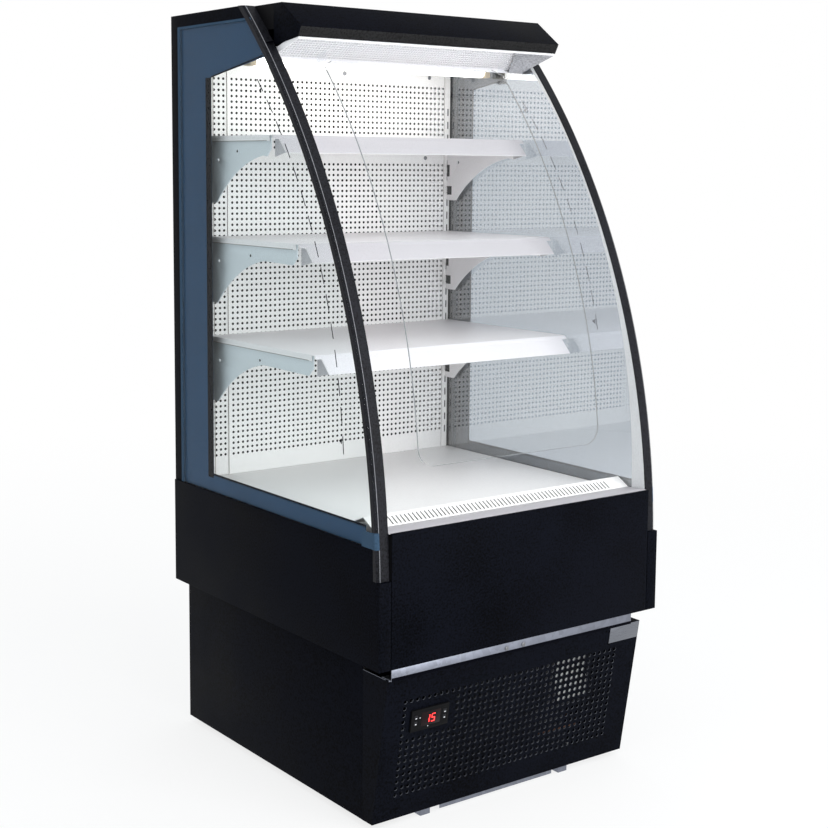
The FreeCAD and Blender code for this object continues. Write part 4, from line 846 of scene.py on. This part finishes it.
class FRIDGE_OT_air_wall(bpy.types.Operator):
    """Build the perforated rear air wall and the slotted uprights"""

    bl_idname = "fridge.air_wall"
    bl_label = "Air wall"

    def execute(self, context):
        sizes = context.scene.fridge_sizes
        self.sheet(sizes, "air_wall_main", -223.6 * MM, 49, sizes.wall_pitch)
        self.sheet(sizes, "air_wall_strip", -259.0 * MM, 3, 9.5 * MM)
        softened("uprights", "white", 0.3 * MM)
        bm = bmesh.new()
        for sign in SIDES.values():
            near, far = sorted((sign * 266.5, sign * 273.5))
            add_box(bm, at(near, 569.7, 500), at(far, 570.2, 1156))
        piece("slot_shadows", bm, "spacer")
        low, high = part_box("air_wall_main")
        head = high.z - 14 * MM
        bm = bmesh.new()
        for x in (-233.15 * MM, 260.6 * MM, -261.9 * MM):
            add_box(
                bm, (x - 0.4 * MM, low.y - 0.15 * MM, low.z + 1 * MM),
                (x + 0.4 * MM, low.y + 0.5 * MM, head),
            )
        piece("air_wall_joints", bm, "seam")
        bm = bmesh.new()
        add_box(
            bm, (274.6 * MM, low.y - 1.4 * MM, low.z + 0.2 * MM),
            (276.8 * MM, low.y - 0.3 * MM, head),
        )
        piece("air_wall_seal", bm, "spacer")
        return {"FINISHED"}

    def sheet(self, sizes, node, first_x, columns, step):
        """Sheet with a field of round holes and one plain band across it."""
        low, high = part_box(node)
        band = (height(1046), height(1070))
        first_z = height(513)
        rows = int((height(1196) - first_z) / sizes.wall_pitch) + 1
        columns = min(columns, int((high.x - first_x - 2 * MM) / step) + 1)
        xs = stops(low.x, first_x, step, columns, high.x)
        zs = stops(low.z, first_z, sizes.wall_pitch, rows, high.z)
        bm = punched(
            xs, zs, sizes.wall_hole / 2, high.y - low.y, lambda x, z: band[0] < z < band[1]
        )
        stand_up(bm, low.y)
        # the insides of the holes get the black finish as painted shade
        mark_rims(bm, Vector((0, -1, 0)))
        piece(node + "_punched", bm, ["white", "spacer"], replaced=[node])


class FRIDGE_OT_shelves(bpy.types.Operator):
    """Build the three shelves with their ticket lips and brackets"""

    bl_idname = "fridge.shelves"
    bl_label = "Shelves"

    def execute(self, context):
        for level in LEVELS:
            # the ticket lips get a darkened white and the left brackets a blue-grey copy of it,
            # both painted shade
            softened(
                f"shelf_{level}", ["slope", "near" if level == "bottom" else "lip"],
                SHEET_EDGE, second=self.on_lip,
            )
            softened(
                f"brackets_{level}", ["slope", "cool"], SHEET_EDGE,
                second=self.on_left,
            )
        self.bracket_hole_shade()
        self.shelf_fold_shadows()
        self.lip_ends()
        return {"FINISHED"}

    def on_lip(self, face):
        """True for the sloping front of a shelf."""
        return face.normal.y < -0.5 and 0.4 < face.normal.z < 0.9

    def on_left(self, face):
        """True for the bracket on the left, which gets the blue-grey copy of the white as painted
        shade.
        """
        return face.calc_center_median().x < 0

    def bracket_hole_shade(self):
        """Painted shade: dark discs where the brackets' round holes are, and dark blocks at the
        hook openings on the right.
        """
        radius, drop = 2.4 * MM, 27 * MM
        bm = bmesh.new()
        for level, back in zip(LEVELS, (395, 425, 468)):
            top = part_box(f"shelf_{level}")[1].z
            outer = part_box(f"brackets_{level}")[1].x
            for sign in SIDES.values():
                near, far = sign * (outer - 1.6 * MM), sign * (outer + 0.1 * MM)
                near, far = sorted((near, far))
                add_rod(
                    bm, (near, depth(back), top - drop), (far, depth(back), top - drop), radius, 16
                )
            for start, end, deep, shallow in ((560, 568, 70, 47), (553, 567, 106, 89)):
                add_box(
                    bm, (268.9 * MM, depth(start), top - deep * MM),
                    (269.05 * MM, depth(end), top - shallow * MM),
                )
        piece("bracket_hole_shade", bm, "spacer")

    def shelf_fold_shadows(self):
        """Thin painted shadow line under the folded side of each shelf."""
        bm = bmesh.new()
        for level in LEVELS:
            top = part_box(f"shelf_{level}")[1].z
            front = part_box(f"brackets_{level}")[0].y + 8 * MM
            for sign in SIDES.values():
                near, far = sorted((sign * 274.45 * MM, sign * 274.6 * MM))
                add_box(bm, (near, front, top - 10 * MM), (far, depth(562), top - 9.2 * MM))
        piece("shelf_fold_shadows", bm, "seam")

    def lip_ends(self):
        """Folded ends that close the space behind each ticket lip."""
        bm = bmesh.new()
        for level in LEVELS:
            low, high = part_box(f"shelf_{level}")
            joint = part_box(f"brackets_{level}")[0].y + 1 * MM
            head = high.z - 2.2 * MM
            outline = (
                (joint, head), (low.y + 31 * MM, head), (low.y + 3.4 * MM, low.z + 1.2 * MM),
                (joint, low.z - 6 * MM),
            )
            for sign in SIDES.values():
                add_plate(bm, outline, sign * 262.4 * MM, sign * 261.4 * MM)
        piece("lip_ends", bm, "lip")


class FRIDGE_OT_deck(bpy.types.Operator):
    """Build the deck, the front ledge and the slotted air return"""

    bl_idname = "fridge.deck"
    bl_label = "Deck and air return"

    def execute(self, context):
        soften_all(
            ("deck", "white", "white_liner", 0.45),
            ("front_ledge", "lip", "white_liner", 0.45),
            ("return_grille", "white", "white_liner", 0.3),
        )
        return {"FINISHED"}


class FRIDGE_OT_canopy(bpy.types.Operator):
    """Build the canopy, the honeycomb air outlet, the ceiling and the lamp"""

    bl_idname = "fridge.canopy"
    bl_label = "Canopy and lamp"

    def execute(self, context):
        # the canopy's forward and downward edge gets a lighter black as painted light
        softened(
            "canopy_cover", ["black", "lit_nose"], 0.5 * MM, second=self.is_nose,
            name="canopy_shell",
        )
        soften_all(
            ("ceiling_liner", "white", "white_liner", 0.45),
            ("lamp_tube", "tube", "lamp_diffuser", 1.0),
            ("lamp_holders", "cap", "lamp_cap", 1.5),
        )
        self.outlet(context.scene.fridge_sizes.cell)
        return {"FINISHED"}

    def is_nose(self, face):
        """True for the canopy's narrow edge, which faces forwards and down and gets a lighter
        black as painted light.
        """
        return face.normal.y < -0.5 and face.normal.z < -0.2

    def outlet(self, cell):
        """Net, backing and end plate of the air outlet, leaning as the outlet does."""
        fall, run = 29, 94
        low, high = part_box("honeycomb_outlet")
        half = (high.x - low.x) / 2
        along = math.hypot(fall, run) * MM / 2
        rim, deep = 2.2 * MM, 4.9 * MM  # width and half depth of the net's frame
        centre = (low + high) / 2
        lean = Matrix.Rotation(-math.atan2(fall, run), 4, "X")
        place = Matrix.Translation((0, centre.y, centre.z)) @ lean
        bm = self.net(cell, half, along)
        for lower, upper in (
            ((-half, -along, -deep), (half, -along + rim, deep)),
            ((-half, along - rim, -deep), (half, along, deep)),
            ((-half, -along + rim, -deep), (-half + rim, along - rim, deep)),
            ((half - rim, -along + rim, -deep), (half, along - rim, deep)),
        ):
            add_box(bm, lower, upper)
        bmesh.ops.transform(bm, matrix=place, verts=bm.verts)
        piece("honeycomb_net", bm, "cells", replaced=["honeycomb_outlet"])

        bm = bmesh.new()
        side, end = half - rim - 0.2 * MM, along - rim - 0.2 * MM
        add_box(bm, (-side, -end, 2.6 * MM), (side, end, 3.4 * MM), place)
        piece("honeycomb_backing", bm, "cells")

        bm = bmesh.new()
        front, rear, under = -along + rim, along - 3 * MM, -deep - FILM
        outline = ((184 * MM, front), (half, front), (half, rear), (244 * MM, rear))
        bm.faces.new([bm.verts.new((x, y, under)) for x, y in outline])
        bm.normal_update()
        bmesh.ops.solidify(bm, geom=bm.faces[:], thickness=0.6 * MM)
        bmesh.ops.transform(bm, matrix=place, verts=bm.verts)
        piece("outlet_end_plate", bm, "shade")

    def net(self, cell, half, along):
        """Flat net of long six-sided cells, centred on the origin."""
        stretch, thickness = 2.0, 4.0 * MM
        rise = cell * math.sqrt(3) / 2 * stretch
        columns = int((2 * half - 4 * MM) / cell)
        rows = int((2 * along - 4 * MM) / rise)
        size = cell / math.sqrt(3)
        turned = Matrix.Rotation(math.radians(30), 4, "Z")
        bm = bmesh.new()
        for radius in (size, size * 0.68):
            bmesh.ops.create_circle(bm, cap_ends=False, segments=6, radius=radius, matrix=turned)
        bmesh.ops.bridge_loops(bm, edges=bm.edges[:])
        bmesh.ops.scale(bm, verts=bm.verts, vec=(1, stretch, 1))
        row = repeat(bm, bm.verts[:] + bm.edges[:] + bm.faces[:], columns, (cell, 0, 0))
        second = bmesh.ops.duplicate(bm, geom=row)["geom"]
        bmesh.ops.translate(bm, verts=verts_of(second), vec=(cell / 2, rise, 0))
        repeat(bm, row + second, rows // 2, (0, 2 * rise, 0))
        bmesh.ops.remove_doubles(bm, verts=bm.verts, dist=0.1 * MM)
        self.centre(bm)
        bmesh.ops.recalc_face_normals(bm, faces=bm.faces)
        bmesh.ops.solidify(bm, geom=bm.faces[:], thickness=thickness)
        self.centre(bm)
        return bm

    def centre(self, bm):
        """Move a mesh so that the middle of its box is at the origin."""
        spans = [[vert.co[axis] for vert in bm.verts] for axis in range(3)]
        middle = Vector([(min(span) + max(span)) / 2 for span in spans])
        bmesh.ops.translate(bm, verts=bm.verts, vec=-middle)


class FRIDGE_OT_screen(bpy.types.Operator):
    """Build the clear front screen, its clips and hangers"""

    bl_idname = "fridge.screen"
    bl_label = "Clear screen"

    def execute(self, context):
        body, slot = "front_screen", "clear_screen"
        bm = merged(body)
        for face in bm.faces:
            if self.on_rim(face):
                face.material_index = 1
        piece("clear_screen", bm, ["screen", "edge"], body=body, replaced=[body])
        softened("screen_clips", "hanger", 0.6 * MM, body=body)
        softened("screen_hangers", "hanger", 0.4 * MM)
        return {"FINISHED"}

    def on_rim(self, face):
        """True for the narrow faces round the sheet's edge."""
        middle = face.calc_center_median()
        centre = Vector((middle.x, FRONT + SCREEN_ARC[0], SCREEN_ARC[1]))
        return abs(face.normal.dot((middle - centre).normalized())) < 0.6


# ---------------------------------------------------------------- machine base


class FRIDGE_OT_base(bpy.types.Operator):
    """Build the perforated front grille, the bare rail, the plate, the rear sheet and the feet"""

    bl_idname = "fridge.base"
    bl_label = "Machine base"

    def execute(self, context):
        self.grille(context.scene.fridge_sizes)
        foot = height(254.9)

        # the rail's face below the grille's top gets the black finish as a painted shade in the
        # gap
        def in_gap(face):
            return face.normal.y < -0.5 and face.calc_center_median().z < foot

        softened(
            "front_rail", ["steel", "spacer"], 0.5 * MM, second=in_gap,
            cuts=(((0, 0, foot), (0, 0, 1)),),
        )
        soften_all(
            ("blank_plate", "plate", "bare_aluminium", 0.3),
            ("unit_tray", "steel", "galvanised", 0.4),
            ("feet", "rubber", "foot_plastic", 0.6),
            ("cable_gland", "rubber", "foot_plastic", 0.6),
        )
        self.rear()
        return {"FINISHED"}

    def grille(self, sizes):
        """Leaning sheet with round holes and a window behind the controller, and its returns."""
        low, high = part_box("front_grille")
        half, sheet = high.x, 1.5 * MM
        slope = (high.z - low.z) / math.cos(TILT)
        xs = stops(-half, -234.0 * MM, 12.0 * MM, 39, half)
        ups = stops(0.0, 43.0 * MM, 11.7 * MM, 15, slope)
        window = (-220 * MM, -147 * MM, 153 * MM, 188 * MM)

        def beside_window(x, up):
            across = window[0] - 12 * MM < x < window[1] + 14 * MM
            return across and window[2] - 12 * MM < up < window[3] + 8 * MM

        bm = punched(
            xs, ups, sizes.grille_hole / 2, sheet, beside_window, sides=12, window=window
        )
        stand_up(bm, 0)
        bmesh.ops.rotate(bm, verts=bm.verts, matrix=Matrix.Rotation(TILT, 3, "X"))
        bmesh.ops.translate(bm, verts=bm.verts, vec=on_grille(0, 0, 0))
        # the holes' rims get the bright finish as a painted highlight
        mark_rims(bm, Vector((0, -math.cos(TILT), -math.sin(TILT))), half - 2 * MM)
        rear = depth(78.7)
        head = on_grille(0, slope / MM, 0).y
        add_box(
            bm, (-half + sheet, head + 1.5 * MM, high.z - sheet),
            (half - sheet, head + 18 * MM, high.z),
        )
        foot = on_grille(0, 0.2, -1.5)
        outline = (
            (foot.y, foot.z), (rear, low.z), (rear, high.z), (head + 1.6 * MM, high.z)
        )
        for start, end in ((-half, -half + sheet), (half - sheet, half)):
            add_plate(bm, outline, start, end)
        piece("grille_punched", bm, ["black", "punched"], replaced=["front_grille"])

        # thin galvanised strips along the grille's top edges, as painted highlight lines
        bm = bmesh.new()
        add_box(
            bm, (-half + 0.1 * MM, head + 6 * MM, high.z + 0.1 * MM),
            (-half + 1.4 * MM, rear, high.z + 0.6 * MM),
        )
        add_box(
            bm, (-half + 2 * MM, head - 0.3 * MM, high.z - 1.7 * MM),
            (203 * MM, head + 0.3 * MM, high.z - 0.1 * MM),
        )
        piece("grille_edge_highlight", bm, "steel")

    def rear(self):
        """Rear sheet of the base with rows of round vents."""
        node = "base_back_panel"
        low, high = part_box(node)
        pitch, columns, rows, radius = 14 * MM, 30, 9, 4 * MM
        xs = stops(low.x, -(columns - 1) / 2 * pitch, pitch, columns, high.x)
        zs = stops(low.z, low.z + 90 * MM, pitch, rows, high.z)
        bm = punched(xs, zs, radius, high.y - low.y, sides=12)
        stand_up(bm, low.y)
        piece("base_rear_vented", bm, "rear", replaced=[node])


class FRIDGE_OT_controller(bpy.types.Operator):
    """Build the controller with its window, digits and keys"""

    bl_idname = "fridge.controller"
    bl_label = "Controller"

    def execute(self, context):
        soften_all(
            ("controller_case", "moulded", "controller_plastic", 0.5),
            ("controller_window", "lens", "controller_lens", 0.2),
        )
        for index in range(1, 5):
            body = f"key_{index}"
            softened(f"controller_{body}", "key", 0.8 * MM, body=body)
        self.digits()
        self.marks()
        return {"FINISHED"}

    def digits(self):
        """Two seven-bar digits on the face of the window."""
        wide, tall, bar_width, lean = 6.2, 12.6, 1.35, 0.12
        middle, out, thin = 170.4, 4.12, 0.06
        bars = {
            "a": (0, 1, False), "g": (0, 0, False), "d": (0, -1, False),
            "b": (1, 0.5, True), "c": (1, -0.5, True), "f": (-1, 0.5, True), "e": (-1, -0.5, True),
        }
        bm = bmesh.new()
        for lit, x in (("bc", -188.0), ("afgcd", -177.2)):
            for name in lit:
                side, level, upright = bars[name]
                rise = level * tall / 2
                across = x + side * wide / 2 + rise * lean
                reach = (tall if upright else 2 * wide) / 4 - 0.1
                size = (bar_width / 2, reach) if upright else (reach, bar_width / 2)
                half = Vector((size[0], thin, size[1])) * MM
                add_bar(bm, half, on_grille(across, middle + rise, out), TILT)
        piece("controller_digits", bm, "digit")

    def marks(self):
        """Pale marks on the keys and beside the digits: across, up the slope, half width."""
        marks = {
            "cabinet": ((-204.0, 174.8, 0.9), (-186.6, 157.2, 0.7)),
            "key_1": ((-212.4, 175.6, 1.5),), "key_2": ((-212.2, 165.4, 1.5),),
            "key_3": ((-154.6, 175.6, 1.5),), "key_4": ((-154.6, 165.4, 1.5),),
        }
        for body, spots in marks.items():
            bm = bmesh.new()
            out = 4.12 if body == "cabinet" else 4.9
            for x, up, reach in spots:
                half = (reach * MM, 0.06 * MM, 0.8 * MM)
                add_bar(bm, half, on_grille(x, up, out), TILT)
            piece(f"controller_mark_{body}", bm, "mark", body=body)


class FRIDGE_OT_unit(bpy.types.Operator):
    """Build the condensing unit, the evaporator, the fans and the pipework"""

    bl_idname = "fridge.unit"
    bl_label = "Condensing unit"

    def execute(self, context):
        for node in ("condenser", "evaporator"):
            self.coil(node)
        for node, key in (("condenser_fan", "shell"), ("evaporator_fan", "steel")):
            softened(node, "blades", 0.5 * MM, body=node)
            softened(node + "_mount", key, 0.3 * MM)
        soften_all(
            ("compressor", "shell", "compressor_paint", 0.5),
            ("electric_box", "shell", "box_plastic", 0.6),
            ("condensate_tray", "pan", "pan_plastic", 0.6),
        )
        bm = bmesh.new()
        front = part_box("electric_box")[0].y
        add_box(
            bm, (140 * MM, front - 1.6 * MM, height(106)),
            (213 * MM, front - 0.1 * MM, height(207)),
        )
        round_edges(bm, 0.5 * MM)
        piece("electric_box_cover", bm, "box")
        dress("pipework", "copper")
        return {"FINISHED"}

    def coil(self, node):
        """Stack of thin fins between two end plates, with tubes through it."""
        low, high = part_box(node)
        middle = (low + high) / 2
        plate, pitch, margin, fin, tube = 1.5 * MM, 4 * MM, 5 * MM, 0.4 * MM, 4 * MM
        bm = bmesh.new()
        for start in (low.x, high.x - plate):
            add_box(bm, (start, low.y, low.z), (start + plate, high.y, high.z))
        verts = bmesh.ops.create_cube(bm, size=1.0)["verts"]
        size = (fin, high.y - low.y - 2 * margin, high.z - low.z - 2 * margin)
        bmesh.ops.scale(bm, verts=verts, vec=size)
        bmesh.ops.translate(bm, verts=verts, vec=(low.x + pitch, middle.y, middle.z))
        faces = {face for vert in verts for face in vert.link_faces}
        edges = {edge for vert in verts for edge in vert.link_edges}
        count = int((high.x - low.x - 6 * MM) / pitch)
        repeat(bm, [*verts, *edges, *faces], count, (pitch, 0, 0))
        rows = int((high.z - low.z) / (25 * MM))
        start, end = low.x + 0.2 * MM, high.x - 0.2 * MM
        for row in range(rows):
            z = low.z + (row + 0.5) * (high.z - low.z) / rows
            for y in (middle.y - 8 * MM, middle.y + 8 * MM):
                add_rod(bm, (start, y, z), (end, y, z), tube, 10)
        piece(node + "_fins", bm, "fins", replaced=[node])


class FRIDGE_OT_screws(bpy.types.Operator):
    """Build the cross-head screws"""

    bl_idname = "fridge.screws"
    bl_label = "Screws"

    def execute(self, context):
        radius, chamfer = 3.8 * MM, 0.9 * MM
        cross = (2.0 * MM, 0.03 * MM, 0.35 * MM)
        bm = bmesh.new()
        for x, near, far, z in self.places():
            head = add_rod(bm, (x, far, z), (x, near, z), radius, 20)
            rim = [
                edge for edge in {edge for vert in head for edge in vert.link_edges}
                if all(vert.co.y < near + 0.1 * MM for vert in edge.verts)
            ]
            round_edges(bm, chamfer, 3, edges=rim)
            for turn in (45, 135):
                add_bar(bm, cross, (x, near, z), math.radians(turn), "Y")
        piece("screw_heads", bm, "zinc", replaced=["screws"])
        return {"FINISHED"}

    def places(self):
        """Middle across, front, rear and height of each screw in the CAD node."""
        source = merged("screws")
        loose = set(source.verts)
        spots = []
        while loose:
            group, todo = [], [loose.pop()]
            while todo:
                vert = todo.pop()
                group.append(vert.co.copy())
                linked = {edge.other_vert(vert) for edge in vert.link_edges} & loose
                loose -= linked
                todo += linked
            low = [min(co[axis] for co in group) for axis in range(3)]
            high = [max(co[axis] for co in group) for axis in range(3)]
            spots.append(((low[0] + high[0]) / 2, low[1], high[1], (low[2] + high[2]) / 2))
        source.free()
        return spots


# ---------------------------------------------------------------- stage


class FRIDGE_OT_stage(bpy.types.Operator):
    """Build the floor, the lights and the camera"""

    bl_idname = "fridge.stage"
    bl_label = "Stage"

    def execute(self, context):
        stage = context.scene.fridge_stage
        self.floor()
        self.light("key_light", stage.key_power, Vector((-0.3, -2.6, 3.1)), 2.4)
        self.light("fill_light", stage.fill_power, Vector((0.7, -3.4, 1.3)), 2.6)
        self.world(context.scene, stage.sky)
        self.camera(context.scene)
        context.scene.view_settings.view_transform = "Standard"
        return {"FINISHED"}

    def floor(self):
        """Pale round floor that fades to white away from the fridge and keeps its shadow."""
        radius, fade_start, fade_end = 14.0, 1.0, 3.4
        bm = bmesh.new()
        bmesh.ops.create_circle(bm, cap_ends=True, segments=96, radius=radius)
        mesh = bpy.data.meshes.new("stage_floor")
        bm.to_mesh(mesh)
        bm.free()
        floor = bpy.data.objects.new("stage_floor", mesh)
        bpy.context.scene.collection.objects.link(floor)
        tree = material("pale floor")
        tone = tree.spread(tree.noise(1.5), 0.0, 1.0)
        base = tree.blend(tone, (0.88, 0.88, 0.88), (0.90, 0.90, 0.90))
        diffuse = tree.add("BsdfDiffuse", {"Color": base}).outputs[0]
        light = tree.add("Emission", {"Color": (1, 1, 1, 1), "Strength": 1.0}).outputs[0]
        rays = tree.add("LightPath").outputs
        direct = tree.math("MAXIMUM", rays["Is Camera Ray"], rays["Is Glossy Ray"])
        away = tree.add("VectorMath", {0: tree.place()}, operation="LENGTH").outputs["Value"]
        fade = tree.spread(away, 0.78, 1.0, fade_start, fade_end)
        seen = tree.math("MULTIPLY", direct, fade)
        mesh.materials.append(tree.finish(tree.add("MixShader", {0: seen, 1: diffuse, 2: light})))

    def light(self, name, power, place, size):
        """Round soft light aimed at the middle of the fridge."""
        lamp = bpy.data.lights.new(name, "AREA")
        lamp.energy = power
        lamp.shape = "DISK"
        lamp.size = size
        holder = bpy.data.objects.new(name, lamp)
        holder.location = place
        aim = Vector((0, 0, 0.75)) - place
        holder.rotation_euler = aim.to_track_quat("-Z", "Y").to_euler()
        bpy.context.scene.collection.objects.link(holder)

    def world(self, scene, sky):
        """Even light all round, seen directly or in a mirror as plain white."""
        tree = Tree(bpy.data.worlds.new("room"), "OutputWorld")
        lit = tree.add("Background", {"Color": (0.93, 0.975, 1, 1), "Strength": sky}).outputs[0]
        seen = tree.add("Background", {"Color": (1, 1, 1, 1), "Strength": 1.0}).outputs[0]
        rays = tree.add("LightPath").outputs
        direct = tree.math("MAXIMUM", rays["Is Camera Ray"], rays["Is Glossy Ray"])
        direct = tree.math("MAXIMUM", direct, rays["Is Transmission Ray"])
        scene.world = tree.finish(tree.add("MixShader", {0: direct, 1: lit, 2: seen}))

    def camera(self, scene):
        """Camera at the place and angle that the photograph was taken from."""
        yaw, pitch, roll = 0.640, -0.119, 0.008
        place = Vector((-1.5993, -2.1323, 1.0530))
        forward = Vector((
            math.sin(yaw) * math.cos(pitch), math.cos(yaw) * math.cos(pitch), math.sin(pitch)
        ))
        level = Vector((math.cos(yaw), -math.sin(yaw), 0))
        upright = level.cross(forward)
        right = math.cos(roll) * level + math.sin(roll) * upright
        up = -math.sin(roll) * level + math.cos(roll) * upright
        lens = bpy.data.cameras.new("view")
        lens.sensor_width = 36.0
        lens.lens = 65.37
        lens.shift_x = 0.0109
        lens.shift_y = -0.0824
        lens.clip_start, lens.clip_end = 0.05, 60.0
        holder = bpy.data.objects.new("view", lens)
        turn = Matrix((right, up, -forward)).transposed().to_4x4()
        holder.matrix_world = Matrix.Translation(place) @ turn
        scene.collection.objects.link(holder)
        scene.camera = holder


# ---------------------------------------------------------------- panel and run

OPERATORS = (
    FRIDGE_OT_shell, FRIDGE_OT_rails, FRIDGE_OT_glazing, FRIDGE_OT_air_wall, FRIDGE_OT_shelves,
    FRIDGE_OT_deck, FRIDGE_OT_canopy, FRIDGE_OT_screen, FRIDGE_OT_base, FRIDGE_OT_controller,
    FRIDGE_OT_unit, FRIDGE_OT_screws, FRIDGE_OT_stage,
)
GROUPS = {
    "fridge_finishes": FridgeFinishes, "fridge_sizes": FridgeSizes, "fridge_stage": FridgeStage,
}


class FRIDGE_PT_panel(bpy.types.Panel):
    """Lists the fridge's pieces and settings"""

    bl_idname = "FRIDGE_PT_panel"
    bl_label = "Fridge"
    bl_space_type = "VIEW_3D"
    bl_region_type = "UI"
    bl_category = "Fridge"

    def draw(self, context):
        for operator in OPERATORS:
            self.layout.operator(operator.bl_idname)
        for group, kind in GROUPS.items():
            for setting in kind.__annotations__:
                self.layout.prop(getattr(context.scene, group), setting)


def register():
    for kind in (*GROUPS.values(), *OPERATORS, FRIDGE_PT_panel):
        bpy.utils.register_class(kind)
    for group, kind in GROUPS.items():
        setattr(bpy.types.Scene, group, bpy.props.PointerProperty(type=kind))


def unregister():
    for group in GROUPS:
        delattr(bpy.types.Scene, group)
    for kind in reversed((*GROUPS.values(), *OPERATORS, FRIDGE_PT_panel)):
        bpy.utils.unregister_class(kind)


def main():
    """Register the add-on and build every piece in order."""
    register()
    bpy.ops.fridge.shell()
    bpy.ops.fridge.rails()
    bpy.ops.fridge.glazing()
    bpy.ops.fridge.air_wall()
    bpy.ops.fridge.shelves()
    bpy.ops.fridge.deck()
    bpy.ops.fridge.canopy()
    bpy.ops.fridge.screen()
    bpy.ops.fridge.base()
    bpy.ops.fridge.controller()
    bpy.ops.fridge.unit()
    bpy.ops.fridge.screws()
    bpy.ops.fridge.stage()


if __name__ == "__main__":
    main()
